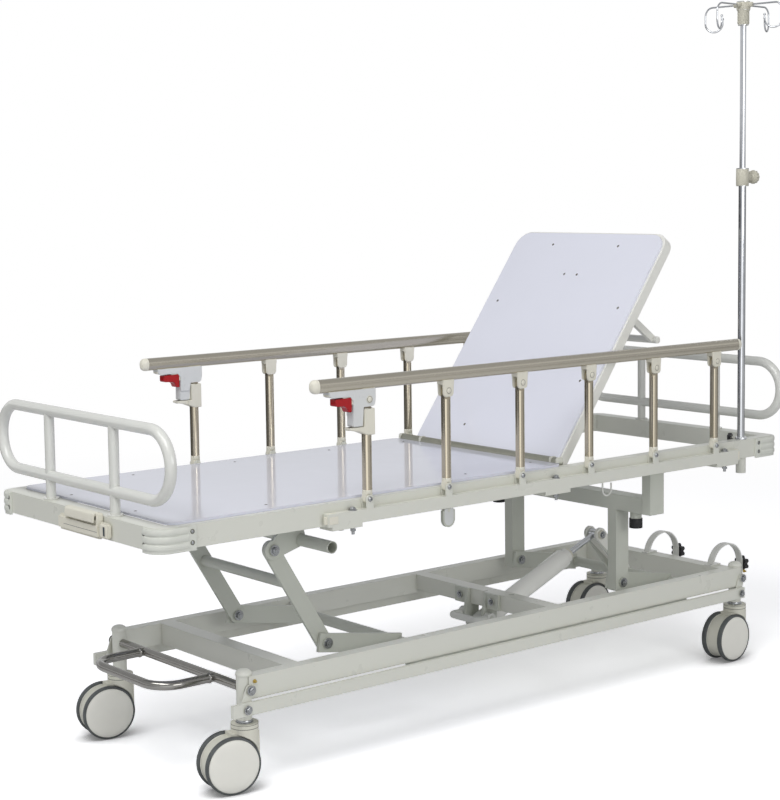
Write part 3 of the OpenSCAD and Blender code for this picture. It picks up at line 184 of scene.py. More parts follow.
def painted(name, rgb, rough, peel, coat=0.0):
    """Powder coat: faint orange peel, slow tone drift, painted shade in the corners, softened edges."""
    m = Mat(name)
    base = linear(rgb)
    drift = m.ramp(m.noise(2.2, 4.0), 0.35, 0.65)
    tone = m.mix(drift, [v * 0.988 for v in base], [min(1, v * 1.006) for v in base])
    specks = m.ramp(m.noise(260.0, 4.0, 0.6), 0.66, 0.80, 0.0, 0.03)
    dusty = m.mix(specks, tone, [base[0] * 0.78, base[1] * 0.76, base[2] * 0.70])
    # painted shade: the colour darkens where other surfaces stand close, in corners and creases
    corner_shade = m.ramp(openness(m.t, 0.012, 6), 0.35, 0.85, 0.30, 0.0)
    m.give({
        "Base Color": m.mix(corner_shade, dusty, [base[0] * 0.50, base[1] * 0.47, base[2] * 0.38]),
        "Roughness": m.ramp(m.noise(18.0, 5.0), 0.3, 0.7, rough - 0.008, rough + 0.010),
        "Coat Weight": coat, "Coat Roughness": 0.06,
    })
    m.bump(m.noise(520.0, 2.0), peel * 0.6, 0.0003, 0.0016)
    return m


def plastic(name, rgb, rough=0.42):
    """Moulded plastic: fine grain, slightly uneven gloss."""
    m = Mat(name)
    base = linear(rgb)
    m.give({
        "Base Color": m.mix(m.ramp(m.noise(9.0, 4.0), 0.35, 0.65), [v * 0.95 for v in base], base),
        "Roughness": m.ramp(m.noise(80.0, 4.0), 0.3, 0.7, rough - 0.06, rough + 0.06),
    })
    m.bump(m.noise(1400.0, 2.0), 0.12, 0.0002, 0.0012)
    return m


def brushed(name, rgb, along, rough=0.22):
    """Anodised aluminium brushed along one axis (0 X, 1 Y, 2 Z)."""
    m = Mat(name)
    scale = [2600.0, 2600.0, 2600.0]
    scale[along] = 14.0
    stretched = node(m.t, "ShaderNodeMapping", {"Scale": scale, "Vector": m.co}).outputs[0]
    lines = m.noise(1.0, 2.0, 0.5, stretched)
    base = linear(rgb)
    m.give({
        "Base Color": m.mix(m.ramp(lines, 0.3, 0.7), [v * 0.988 for v in base], base),
        "Metallic": 1.0,
        "Roughness": m.ramp(lines, 0.3, 0.7, rough - 0.01, rough + 0.015),
    })
    m.bump(lines, 0.012, 0.0001)
    return m


def metal(name, rgb, rough, scratch=0.04):
    """Bare or plated metal: faint smears and fine scratches."""
    m = Mat(name)
    base = linear(rgb)
    m.give({
        "Base Color": m.mix(m.ramp(m.noise(40.0, 4.0), 0.35, 0.7), [v * 0.90 for v in base], base),
        "Metallic": 1.0,
        "Roughness": m.ramp(m.noise(120.0, 5.0), 0.3, 0.7, rough, rough + 0.10),
    })
    m.bump(m.noise(900.0, 3.0), scratch, 0.0002)
    return m


def rubbery(name, rgb):
    """Rubber: uneven tone and a dull grain."""
    m = Mat(name)
    base = linear(rgb)
    worn = m.ramp(m.noise(40.0, 5.0), 0.35, 0.65)
    m.give({
        "Base Color": m.mix(worn, [v * 0.8 for v in base], [v * 1.15 for v in base]),
        "Roughness": m.ramp(m.noise(90.0, 4.0), 0.3, 0.7, 0.5, 0.7),
    })
    m.bump(m.noise(1100.0, 3.0), 0.25, 0.0003)
    return m


def laminate(name, rgb):
    """Glossy board: slow tone drift, a slightly uneven gloss, softened edges."""
    m = Mat(name)
    base = linear(rgb)
    m.give({
        "Base Color": m.mix(m.ramp(m.noise(2.2, 3.0), 0.35, 0.65), [v * 0.975 for v in base], base),
        "Roughness": m.ramp(m.noise(14.0, 5.0), 0.3, 0.7, 0.06, 0.14),
        "Specular IOR Level": 0.7,
    })
    m.bump(m.noise(160.0, 2.0), 0.02, 0.0003, 0.0015)
    return m


PAINT = painted("frame_paint", (221, 222, 213), 0.28, 0.05)
PAINT_GLOSS = painted("hoop_paint", (224, 225, 220), 0.24, 0.04, 0.45)
BACK_PAINT = painted("back_paint", (240, 240, 234), 0.30, 0.05)
LIFT_PAINT = painted("lift_paint", (200, 203, 193), 0.30, 0.06)
RAM_PAINT = painted("ram_paint", (247, 247, 242), 0.20, 0.04, 0.3)
# one laminate on both boards; the backrest's copy is paler, painted light from the way that board faces the
# lamps
BOARD = laminate("deck_laminate", (217, 219, 233))
BACK_BOARD_LIT = laminate("back_laminate_painted_lit", (233, 235, 247))
CREAM = plastic("cream_plastic", (232, 229, 215))
FITTING = plastic("fitting_plastic", (206, 203, 187))
CASING = plastic("casing_plastic", (224, 226, 226), 0.32)
DISC = plastic("disc_plastic", (240, 239, 231), 0.34)
HOOD = plastic("hood_plastic", (222, 221, 208), 0.38)
BUMPER = plastic("bumper_plastic", (222, 224, 216), 0.34)
RED = plastic("red_plastic", (176, 8, 20), 0.20)
BLACK = plastic("black_plastic", (22, 22, 26), 0.40)
# the latch's slot in painted shade, and a dark seam line along the latch body
SLOT_SHADE_AND_SEAM = plastic("slot_shade_and_dark_seam", (52, 58, 66), 0.40)
# dark seam rings on the caster housings, and painted shade in the grooves round the pivot covers and in the
# bumpers' screw recesses
SEAM_AND_RECESS_SHADE = plastic("seam_dark_and_recess_shade", (112, 113, 102), 0.50)
TYRE = rubbery("tyre_rubber", (84, 88, 88))
RUBBER = rubbery("buffer_rubber", (26, 26, 28))
RAIL = brushed("rail_aluminium", (196, 190, 176), 0)
POST = brushed("post_aluminium", (196, 187, 168), 2, 0.16)
HINGE = metal("hinge_steel", (172, 172, 160), 0.30, 0.01)
CHROME = metal("polished_steel", (206, 208, 212), 0.05)
STEEL = metal("drawn_steel", (158, 156, 152), 0.09, 0.03)
ZINC = metal("zinc_plate", (168, 170, 172), 0.20, 0.05)
BRASS = metal("brass_plate", (190, 166, 92), 0.22, 0.08)


def dress(name, mat):
    """Gives a CAD node one plain material."""
    o = nodes[name]
    o.data.materials.clear()
    o.data.materials.append(mat.m)


def two_tone(name, mat, marked):
    """Gives a CAD node a second material on the faces whose middles a test marks."""
    data = nodes[name].data
    data.materials.append(mat.m)
    for p in data.polygons:
        p.material_index = 1 if marked(p.center) else 0


def made(name, bm, mat, body, sharp):
    """Turns a bmesh with the chassis middle at y = 0 into a piece that rides on a body."""
    me = bpy.data.meshes.new(name)
    bmesh.ops.translate(bm, verts=bm.verts, vec=(0, ASIDE, 0))
    bmesh.ops.recalc_face_normals(bm, faces=bm.faces)
    bm.to_mesh(me)
    bm.free()
    o = bpy.data.objects.new(name, me)
    SCENE.collection.objects.link(o)
    for m in mat if isinstance(mat, list) else [mat]:
        me.materials.append(m.m)
    for p in me.polygons:
        p.use_smooth = True
    me.set_sharp_from_angle(angle=math.radians(sharp))
    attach(o, body)
    return o


def basis(origin, z_axis):
    """A placing matrix with its z along an axis and its x as upright as can be."""
    z = Vector(z_axis).normalized()
    x = Vector((0, 0, 1))
    if abs(x.dot(z)) > 0.95:
        x = Vector((1, 0, 0))
    x = (x - z * x.dot(z)).normalized()
    y = z.cross(x)
    return Matrix.Translation(Vector(origin)) @ Matrix((x, y, z)).transposed().to_4x4()


def moved(at, x, y, z):
    """A placing matrix moved along its own axes."""
    return at @ Matrix.Translation((x, y, z))


def lathe(bm, at, profile, steps, index=None):
    """Turns a profile of (radius, height) round the z axis of a placing matrix."""
    rings = []
    for r, h in profile:
        if r < 1e-6:
            rings.append([bm.verts.new(at @ Vector((0, 0, h)))])
        else:
            ring = []
            for k in range(steps):
                a = math.tau * k / steps
                ring.append(bm.verts.new(at @ Vector((r * math.cos(a), r * math.sin(a), h))))
            rings.append(ring)
    for i in range(len(rings) - 1):
        a, b = rings[i], rings[i + 1]
        for k in range(steps):
            j = (k + 1) % steps
            if len(a) == 1:
                f = bm.faces.new((a[0], b[k], b[j]))
            elif len(b) == 1:
                f = bm.faces.new((a[k], a[j], b[0]))
            else:
                f = bm.faces.new((a[k], a[j], b[j], b[k]))
            if index:
                f.material_index = index[i]


def rod(bm, at, r, length, steps):
    """A plain round bar from a placing matrix along its z axis."""
    lathe(bm, at, [(0, 0), (r, 0), (r, length), (0, length)], steps)


def hexagon(bm, at, r, h, chamfer):
    """Hexagon head with a chamfered top."""
    lathe(bm, at, [(0, 0), (r, 0), (r, h - chamfer), (r - chamfer, h), (0, h)], 6)


def bolt(name, pos, axis, body, r, h):
    """Hexagon head on a thin washer, with the end of its thread standing out."""
    bm = bmesh.new()
    at = basis(pos, axis)
    wide, thick = r * 1.45, 0.0015
    lathe(bm, at, [(0, 0), (wide, 0), (wide, 0.0011), (wide - 0.0004, thick), (0, thick)], 32)
    hexagon(bm, moved(at, 0, 0, thick), r, h, r * 0.16)
    lathe(bm, moved(at, 0, 0, thick + h - 0.0004),
          [(r * 0.5, 0), (r * 0.5, 0.0012), (r * 0.42, 0.0018), (0, 0.0018)], 24)
    made(name, bm, ZINC, body, 25)


# an edge whose faces turn by more than this, in radians, is rounded
SHARP_EDGE = 0.5


def bevel_sharp(bm, faces, offset, segments):
    """Rounds the sharp edges of a closed set of faces."""
    bmesh.ops.recalc_face_normals(bm, faces=faces)
    bm.edges.index_update()
    edges = [e for e in {e for f in faces for e in f.edges} if e.calc_face_angle(0) > SHARP_EDGE]
    edges.sort(key=lambda e: e.index)
    bmesh.ops.bevel(bm, geom=edges, offset=offset, segments=segments, affect="EDGES", clamp_overlap=True)


def outline_plate(bm, points, y0, y1, bevel, segments=2):
    """A flat outline of (x, z) between two y places, with rounded edges."""
    low = [bm.verts.new((x, y0, z)) for x, z in points]
    top = [bm.verts.new((x, y1, z)) for x, z in points]
    n = len(points)
    faces = [bm.faces.new(low), bm.faces.new(list(reversed(top)))]
    for k in range(n):
        j = (k + 1) % n
        faces.append(bm.faces.new((low[j], low[k], top[k], top[j])))
    bevel_sharp(bm, faces, bevel, segments)


def rounded(points, radii, steps=5):
    """An outline with each corner rounded by its own radius."""
    out = []
    n = len(points)
    for i, (p, r) in enumerate(zip(points, radii)):
        a, b, c = Vector(points[i - 1]), Vector(p), Vector(points[(i + 1) % n])
        u, v = (a - b).normalized(), (c - b).normalized()
        half = math.acos(max(-1, min(1, u.dot(v)))) / 2
        cut = min(r / math.tan(half), (a - b).length * 0.49, (c - b).length * 0.49)
        r = cut * math.tan(half)
        mid = b + (u + v).normalized() * (r / math.sin(half))
        s, e = b + u * cut - mid, b + v * cut - mid
        turn = s.angle_signed(e)
        for k in range(steps + 1):
            t = -turn * k / steps
            cos, sin = math.cos(t), math.sin(t)
            out.append((mid.x + s.x * cos - s.y * sin, mid.y + s.x * sin + s.y * cos))
    return out


def skin(bm, rows, closed):
    """Faces between rows of points; closed rows join their last point to their first."""
    for a, b in zip(rows, rows[1:]):
        for k in range(len(a) if closed else len(a) - 1):
            j = (k + 1) % len(a)
            bm.faces.new((a[k], a[j], b[j], b[k]))


def slab(bm, lo, hi, bevel, segments):
    """A block between two corners with rounded edges."""
    c = [bm.verts.new((x, y, z)) for x in (lo[0], hi[0]) for y in (lo[1], hi[1]) for z in (lo[2], hi[2])]
    quads = ((0, 1, 3, 2), (4, 6, 7, 5), (0, 4, 5, 1), (2, 3, 7, 6), (0, 2, 6, 4), (1, 5, 7, 3))
    faces = [bm.faces.new([c[k] for k in q]) for q in quads]
    bevel_sharp(bm, faces, bevel, segments)


# camera at the photograph's place; focal length and middle are in pixels of the photograph
WIDE, TALL, SENSOR = 780, 800, 36
FOCAL, MIDDLE = 1780.7, (390.3, 358.4)
yaw, pitch, roll = 0.887, 0.09676, -0.01309
forward = Vector((math.cos(yaw) * math.cos(pitch), math.sin(yaw) * math.cos(pitch), -math.sin(pitch)))
right = Vector((math.sin(yaw), -math.cos(yaw), 0))
up = right.cross(forward)
rolled_right = right * math.cos(roll) + up * math.sin(roll)
rolled_up = up * math.cos(roll) - right * math.sin(roll)
cam_data = bpy.data.cameras.new("camera")
cam = bpy.data.objects.new("camera", cam_data)
SCENE.collection.objects.link(cam)
turned = Matrix((rolled_right, rolled_up, -forward)).transposed().to_4x4()
cam.matrix_world = Matrix.Translation((-2.8906 + AHEAD, -3.3302 + ASIDE, 1.2792)) @ turned
cam_data.sensor_fit = "HORIZONTAL"
cam_data.sensor_width = SENSOR
cam_data.lens = FOCAL * SENSOR / WIDE
cam_data.shift_x = (WIDE / 2 - MIDDLE[0]) / WIDE
cam_data.shift_y = (MIDDLE[1] - TALL / 2) / WIDE
cam_data.clip_end = 100
SCENE.camera = cam

# plain materials on the CAD nodes
WHEELS = ("nf", "ff", "nh", "fh")
for name in nodes:
    dress(name, PAINT)
for mat, names in (
    (BOARD, ["deck_board"]),
    (BACK_BOARD_LIT, ["backrest_board"]),
    (BACK_PAINT, ["backrest_frame"]),
    (PAINT_GLOSS, ["hoop_foot", "hoop_head", "bottle_straps", "pump_pedal", "drain_hook"]),
    (LIFT_PAINT, ["foot_legs", "foot_bracket", "head_crank", "foot_crank", "sync_link", "ram_bracket",
                  "lift_beam", "paddle_lever"]),
    (RAM_PAINT, ["ram_barrel"]),
    (CHROME, ["ram_rod", "pole_lower", "pole_upper"]),
    (STEEL, ["brake_foot", "brake_head"]),
    (CREAM, ["pole_knob", "end_latch", "end_latch_lever", "rail_near", "rail_far"]),
    (RUBBER, ["buffers"]),
    (BLACK, ["bottle_knob_a", "bottle_knob_b"]),
    (BUMPER, ["bumpers"]),
    (RED, ["latch_near", "latch_far"]),
    (HOOD, ["caster_" + k for k in WHEELS]),
    (TYRE, ["wheel_" + k for k in WHEELS]),
    (POST, [f"post_{s}_{i + 1}" for s, _ in SIDES for i in range(POST_COUNT)]),
):
    for name in names:
        dress(name, mat)

# painted lever plates on the bright brake shafts, bright hinge eyes, the pale ram lever of the head crank
LEVER_PLATES_Y = 0.2745
HINGE_EYE_R = 0.0135
RAM_LEVER_Y, RAM_LEVER_LOW = 0.05, 0.27
for name in ("brake_foot", "brake_head"):
    two_tone(name, PAINT, lambda c: abs(c.y - ASIDE) > LEVER_PLATES_Y)
two_tone("backrest_frame", HINGE, lambda c: math.hypot(c.x - BACKREST[0], c.z - BACKREST[1]) < HINGE_EYE_R)
two_tone("head_crank", BACK_PAINT, lambda c: abs(c.y) < RAM_LEVER_Y and c.z > RAM_LEVER_LOW)

# wheels: smooth twin tyres round domed cream discs, in place of the plain CAD wheels
TRAIL, WHEEL_R, GAP = 0.038, 0.0625, 0.036
AXLE_R, AXLE_OVER = 0.005, 0.001
TURN = dict(zip(WHEELS, (168.0, 168.0, 182.0, 182.0)))
STEM = {"nf": (-0.8, -0.257), "ff": (-0.8, 0.257), "nh": (0.8, -0.257), "fh": (0.8, 0.257)}
WHEEL_PROFILE = [
    (0.0, 0.0), (0.0570, 0.0), (0.0576, 0.0006),
    (0.0594, 0.0007), (0.0614, 0.0016), (0.0623, 0.0034), (0.0625, 0.0060),
    (0.0625, 0.0094), (0.0622, 0.0120), (0.0613, 0.0138), (0.0602, 0.0146),
    (0.0580, 0.0146), (0.0573, 0.0134),
    (0.0568, 0.0134), (0.0562, 0.0145), (0.0550, 0.0150), (0.0400, 0.0152),
    (0.0200, 0.0153), (0.0, 0.0153),
]
# which stretches of the profile are tyre (0) and disc (1)
WHEEL_INDEX = [1] * 2 + [0] * 10 + [1] * 6


def wheel(key):
    """Two tyres with their discs, and the axle between them."""
    a = math.radians(TURN[key])
    sx, sy = STEM[key]
    centre = Vector((sx + AHEAD + TRAIL * math.cos(a), sy + TRAIL * math.sin(a), WHEEL_R))
    axle = Vector((-math.sin(a), math.cos(a), 0))
    bm = bmesh.new()
    for side in (-1, 1):
        at = basis(centre + axle * side * GAP / 2, axle * side)
        lathe(bm, at, WHEEL_PROFILE, 96, WHEEL_INDEX)
    long = GAP + 2 * AXLE_OVER
    lathe(bm, basis(centre - axle * (GAP / 2 + AXLE_OVER), axle),
          [(0, 0), (AXLE_R, 0), (AXLE_R, long), (0, long)], 24, [1, 1, 1])
    o = made("wheel_pair_" + key, bm, [TYRE, DISC], "wheel_" + key, 40)
    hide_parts("wheel_" + key)


def caster_trim(key):
    """Two dark rings on the housing's neck, and the bright collar of the stem above it."""
    sx, sy = STEM[key]

    def at(z):
        return basis((sx + AHEAD, sy, z), (0, 0, 1))

    bm = bmesh.new()
    for z, tall in ((0.1358, 0.0009), (0.1442, 0.0006)):
        lathe(bm, at(z), [(0.0300, -0.0003), (0.03012, 0.0), (0.03012, tall), (0.0300, tall + 0.0003)], 64)
    made("hood_groove_" + key, bm, SEAM_AND_RECESS_SHADE, "caster_" + key, 50)
    bm = bmesh.new()
    lathe(bm, at(0.1463), [
        (0.0140, 0.0), (0.0190, 0.0001), (0.0194, 0.0008), (0.0190, 0.0014), (0.0166, 0.0015)], 48)
    lathe(bm, at(0.1470), [(0.0166, 0.0), (0.0170, 0.0003), (0.0170, 0.0052), (0.0166, 0.0056)], 48)
    made("stem_collar_" + key, bm, ZINC, "chassis", 50)


for key in WHEELS:
    wheel(key)
    caster_trim(key)

# hand rails: the extrusion over the CAD section, with moulded end caps
RAIL_HALF, RAIL_POINTS = (0.012, 0.0145), 96
# the step line: its height and half width as shares of the half height, and its depth
STEP_AT, STEP_HALF, STEP_DEEP = 0.12, 0.06, 0.00045
# places past the end of the rail, and the share of its section that a cap has there
CAP_STEPS = ((-0.004, 1.012), (0.0005, 1.012), (0.003, 1.0), (0.006, 0.93), (0.009, 0.80),
             (0.0112, 0.55), (0.012, 0.25))


def rail_profile(grow):
    """Closed (y, z) outline of the rail: flat-sided oval with one step line along each side."""
    hw, hh = RAIL_HALF[0] + grow, RAIL_HALF[1] + grow
    pts = []
    for k in range(RAIL_POINTS):
        a = math.tau * k / RAIL_POINTS
        c, s = math.cos(a), math.sin(a)
        y = hw * math.copysign(abs(c) ** 0.80, c)
        z = hh * math.copysign(abs(s) ** 0.88, s)
        d = abs(z / hh - STEP_AT)
        if d < STEP_HALF and abs(c) > 0.3:
            y -= math.copysign(STEP_DEEP * (1 - d / STEP_HALF), c)
        pts.append((y, z))
    return pts


def rail(side_name, side):
    """The extrusion's skin and its two end caps."""
    body = "rail_" + side_name
    zc = (RAIL_LOW + RAIL_TOP) / 2
    bm = bmesh.new()
    rings = []
    for x in (RAIL_START, RAIL_START + RAIL_LEN):
        rings.append([bm.verts.new((x, side * (GUARD_Y + y), zc + z)) for y, z in rail_profile(0.0003)])
    skin(bm, rings, True)
    made("rail_skin_" + side_name, bm, RAIL, body, 60)
    for end, x0, way in (("foot", RAIL_START, -1), ("head", RAIL_START + RAIL_LEN, 1)):
        bm = bmesh.new()
        rings = []
        for t, k in CAP_STEPS:
            rings.append([
                bm.verts.new((x0 + way * t, side * (GUARD_Y + y * k), zc + z * k))
                for y, z in rail_profile(0.0004)[::2]
            ])
        skin(bm, rings, True)
        bm.faces.new(rings[-1])
        made(f"rail_cap_{side_name}_{end}", bm, CREAM, body, 50)


def guard_details(side_name, side):
    """Brackets, covers, bolts and plugs of the six posts, and the ends and clamps of the beam."""
    body = "rail_" + side_name
    out = GUARD_Y + CHEEK_OUT
    inner = GUARD_Y - CHEEK_OUT
    for i in range(POST_COUNT):
        x = FIRST_POST + i * PITCH
        tag = f"{side_name}_{i + 1}"
        post = "post_" + tag
        # moulded top bracket round each post head
        bm = bmesh.new()
        pts = rounded([
            (x - 0.0148, TOP_PIN_Z - 0.0150), (x + 0.0148, TOP_PIN_Z - 0.0150),
            (x + 0.0160, RAIL_LOW - 0.006), (x + 0.0168, RAIL_LOW + 0.0028),
            (x - 0.0168, RAIL_LOW + 0.0028), (x - 0.0160, RAIL_LOW - 0.006),
        ], [0.009, 0.009, 0.006, 0.001, 0.001, 0.006])
        for y0, y1 in ((out - 0.0036, out + 0.0008), (inner - 0.0002, inner + 0.0036)):
            outline_plate(bm, pts, side * y0, side * y1, 0.0009, 3)
        made("top_bracket_" + tag, bm, CREAM, body, 40)
        # round pivot cover inside a ring groove in painted shade, farther out on the casing of the first
        # post
        casing = 0.0016 if i == 0 else 0.0
        bm = bmesh.new()
        lathe(bm, basis((x, side * (out + 0.0006 + casing), TOP_PIN_Z - 0.001), (0, side, 0)), [
            (0.0082, 0), (0.0082, 0.0007), (0.0076, 0.0010), (0.0070, 0.0010), (0.0068, 0.0004),
            (0.0062, 0.0004), (0.0060, 0.0012), (0.0052, 0.0018), (0.0, 0.0021),
        ], 40, [0, 0, 0, 1, 1, 1, 0, 0])
        made("pivot_cover_" + tag, bm, [CREAM, SEAM_AND_RECESS_SHADE], body, 35)
        # bolt through the lower ears: a domed steel head with a socket
        bm = bmesh.new()
        lathe(bm, basis((x, side * (out + 0.0001), FOOT_PIN_Z), (0, side, 0)), [
            (0.0058, 0), (0.0058, 0.0008), (0.0052, 0.0022), (0.0040, 0.0031), (0.0026, 0.0034),
            (0.0024, 0.0016), (0, 0.0014),
        ], 36)
        made("ear_bolt_" + tag, bm, ZINC, "bed", 35)
        # moulded foot of the post between the ears
        bm = bmesh.new()
        pts = rounded([
            (x - 0.0098, FOOT_PIN_Z - 0.0092), (x + 0.0098, FOOT_PIN_Z - 0.0092),
            (x + 0.0098, FOOT_PIN_Z + 0.0160), (x - 0.0098, FOOT_PIN_Z + 0.0160),
        ], [0.008, 0.008, 0.001, 0.001])
        outline_plate(bm, pts, side * (GUARD_Y - 0.0064), side * (GUARD_Y + 0.0064), 0.0007)
        lathe(bm, basis((x, side * GUARD_Y, FOOT_PIN_Z + 0.0120), (0, 0, 1)),
              [(0, 0), (0.0100, 0), (0.0104, 0.0010), (0.0104, 0.0070), (0.0098, 0.0078), (0, 0.0078)], 40)
        made("post_plug_" + tag, bm, CREAM, post, 35)
        # flat lips pressed into the post's skin, two at each of four places, shorter under the first sleeve
        bm = bmesh.new()
        z0, z1 = FOOT_PIN_Z + 0.0200, TOP_PIN_Z - (0.0765 if i == 0 else 0.0205)
        lip_at = 0.00972
        for a in (38, 142, 218, 322):
            t = math.radians(a)
            for w in (-0.05, 0.05):
                lip_x = x + lip_at * math.cos(t + w)
                lip_y = side * (GUARD_Y + lip_at * math.sin(t + w))
                rod(bm, basis((lip_x, lip_y, z0), (0, 0, 1)), 0.00022, z1 - z0, 6)
        made("post_ribs_" + tag, bm, POST, post, 60)
    # moulded end caps of the beam
    y0, y1 = (0.3305, 0.3506) if side > 0 else (-0.3506, -0.3305)
    for end, x0, x1, bevel in (("foot", -0.6405, -0.6045, 0.0065), ("head", 0.6950, 0.7085, 0.0040)):
        bm = bmesh.new()
        slab(bm, (x0 + AHEAD, y0, 0.5554), (x1 + AHEAD, y1, 0.5846), bevel, 4)
        made(f"beam_cap_{side_name}_{end}", bm, CREAM, "bed", 35)
    # clamp bolts: hexagon on a washer above the beam, end of the thread with a nut below it
    clamp_y = side * 0.3405
    for k, x in enumerate((-564, 48, 657)):
        tag = f"{side_name}_{k + 1}"
        bolt("clamp_bolt_" + tag, (at_x(x), clamp_y, 0.5840), (0, 0, 1), "bed", 0.0068, 0.0050)
        bm = bmesh.new()
        at = basis((at_x(x), clamp_y, 0.5470), (0, 0, -1))
        lathe(bm, at, [(0, 0), (0.0036, 0), (0.0036, 0.0150), (0.0030, 0.0158), (0, 0.0158)], 20)
        hexagon(bm, moved(at, 0, 0, 0.0035), 0.0068, 0.0052, 0.0009)
        made("clamp_nut_" + tag, bm, ZINC, "bed", 30)


def latch_details(side_name, side):
    """Casing, sleeve and red lever of the guard's latch at the first post."""
    body = "rail_" + side_name
    x1 = FIRST_POST
    sleeve_top = TOP_PIN_Z - 0.057
    # casing under the rail: a bar along the rail and a drop beside the first post
    bar = [(x1 - 0.1080, RAIL_LOW + 0.0015), (x1 - 0.1065, RAIL_LOW - 0.0080),
           (x1 - 0.1000, RAIL_LOW - 0.0118), (x1 - 0.0915, RAIL_LOW - 0.0119),
           (x1 - 0.0915, RAIL_LOW - 0.0086), (x1 - 0.0435, RAIL_LOW - 0.0086)]
    head = [(x1 - 0.0150, TOP_PIN_Z - 0.0165), (x1 + 0.0150, TOP_PIN_Z - 0.0165),
            (x1 + 0.0178, TOP_PIN_Z - 0.002), (x1 + 0.0180, RAIL_LOW + 0.0015)]
    bends = [0.002, 0.006, 0.005, 0.0005, 0.0005, 0.001, 0.003, 0.003, 0.002, 0.010, 0.004, 0.001]

    def plate(points, y0, y1, bevel, segments):
        outline_plate(bm, points, side * (GUARD_Y + y0), side * (GUARD_Y + y1), bevel, segments)

    bm = bmesh.new()
    # the inner skin stops above the bed frame's side, which the drop passes when the guard is folded
    for drop, y0, y1, bevel in ((sleeve_top - 0.0006, -0.0101, 0.0118, 0.0020),
                                (INNER_LOW, -0.0118, -0.0096, 0.0008)):
        plate(rounded(bar + [(x1 - 0.0450, drop), (x1 - 0.0185, drop)] + head, bends), y0, y1, bevel, 4)
    # thin cheeks of the casing beside the lever
    cheek = rounded([
        (x1 - 0.0935, RAIL_LOW - 0.0060), (x1 - 0.0935, RAIL_LOW - 0.0119),
        (x1 - 0.0520, RAIL_LOW - 0.0125), (x1 - 0.0438, RAIL_LOW - 0.0220),
        (x1 - 0.0438, INNER_LOW + 0.0030), (x1 - 0.0400, INNER_LOW + 0.0030),
        (x1 - 0.0400, RAIL_LOW - 0.0060),
    ], [0.001, 0.001, 0.004, 0.008, 0.001, 0.001, 0.001])
    for y0, y1 in ((0.0109, 0.0119), (-0.0119, -0.0109)):
        plate(cheek, y0, y1, 0.0003, 2)
    made("latch_casing_" + side_name, bm, CASING, body, 40)
    # sleeve on the first post with its shelf under the casing
    bm = bmesh.new()
    shelf_z = sleeve_top - 0.0020
    collar = [(x1 - 0.0145, shelf_z), (x1 - 0.0140, TOP_PIN_Z - 0.020), (x1 + 0.0140, TOP_PIN_Z - 0.020),
              (x1 + 0.0140, TOP_PIN_Z - 0.078), (x1 - 0.0060, TOP_PIN_Z - 0.078)]
    shelf = [(x1 - 0.0300, TOP_PIN_Z - 0.068), (x1 - 0.0525, sleeve_top - 0.0075)]
    plate(rounded([(x1 - 0.0525, shelf_z)] + collar + shelf,
                  [0.001, 0.002, 0.002, 0.003, 0.002, 0.004, 0.006, 0.002]), -0.0101, 0.0133, 0.0016, 3)
    plate(rounded([(x1 - 0.0240, shelf_z)] + collar + [(x1 - 0.0240, TOP_PIN_Z - 0.0705)],
                  [0.001, 0.002, 0.002, 0.003, 0.002, 0.004, 0.003]), -0.0133, -0.0096, 0.0012, 3)
    made("post_sleeve_" + side_name, bm, CREAM, f"post_{side_name}_1", 40)
    # red squeeze lever
    z = TOP_PIN_Z - 0.004
    bm = bmesh.new()
    plate(rounded([
        (x1 - 0.0900, z + 0.0096), (x1 - 0.0900, z - 0.0060), (x1 - 0.066, z - 0.0070),
        (x1 - 0.0600, z - 0.0115), (x1 - 0.0560, z - 0.0205), (x1 - 0.0468, z - 0.0215),
        (x1 - 0.0462, z + 0.0122),
    ], [0.002, 0.0040, 0.004, 0.004, 0.003, 0.003, 0.001]), -0.0107, 0.0107, 0.0014, 3)
    o = made("squeeze_lever_" + side_name, bm, RED, "latch_" + side_name, 40)
    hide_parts("latch_" + side_name)


for name, side in SIDES:
    rail(name, side)
    guard_details(name, side)
    latch_details(name, side)


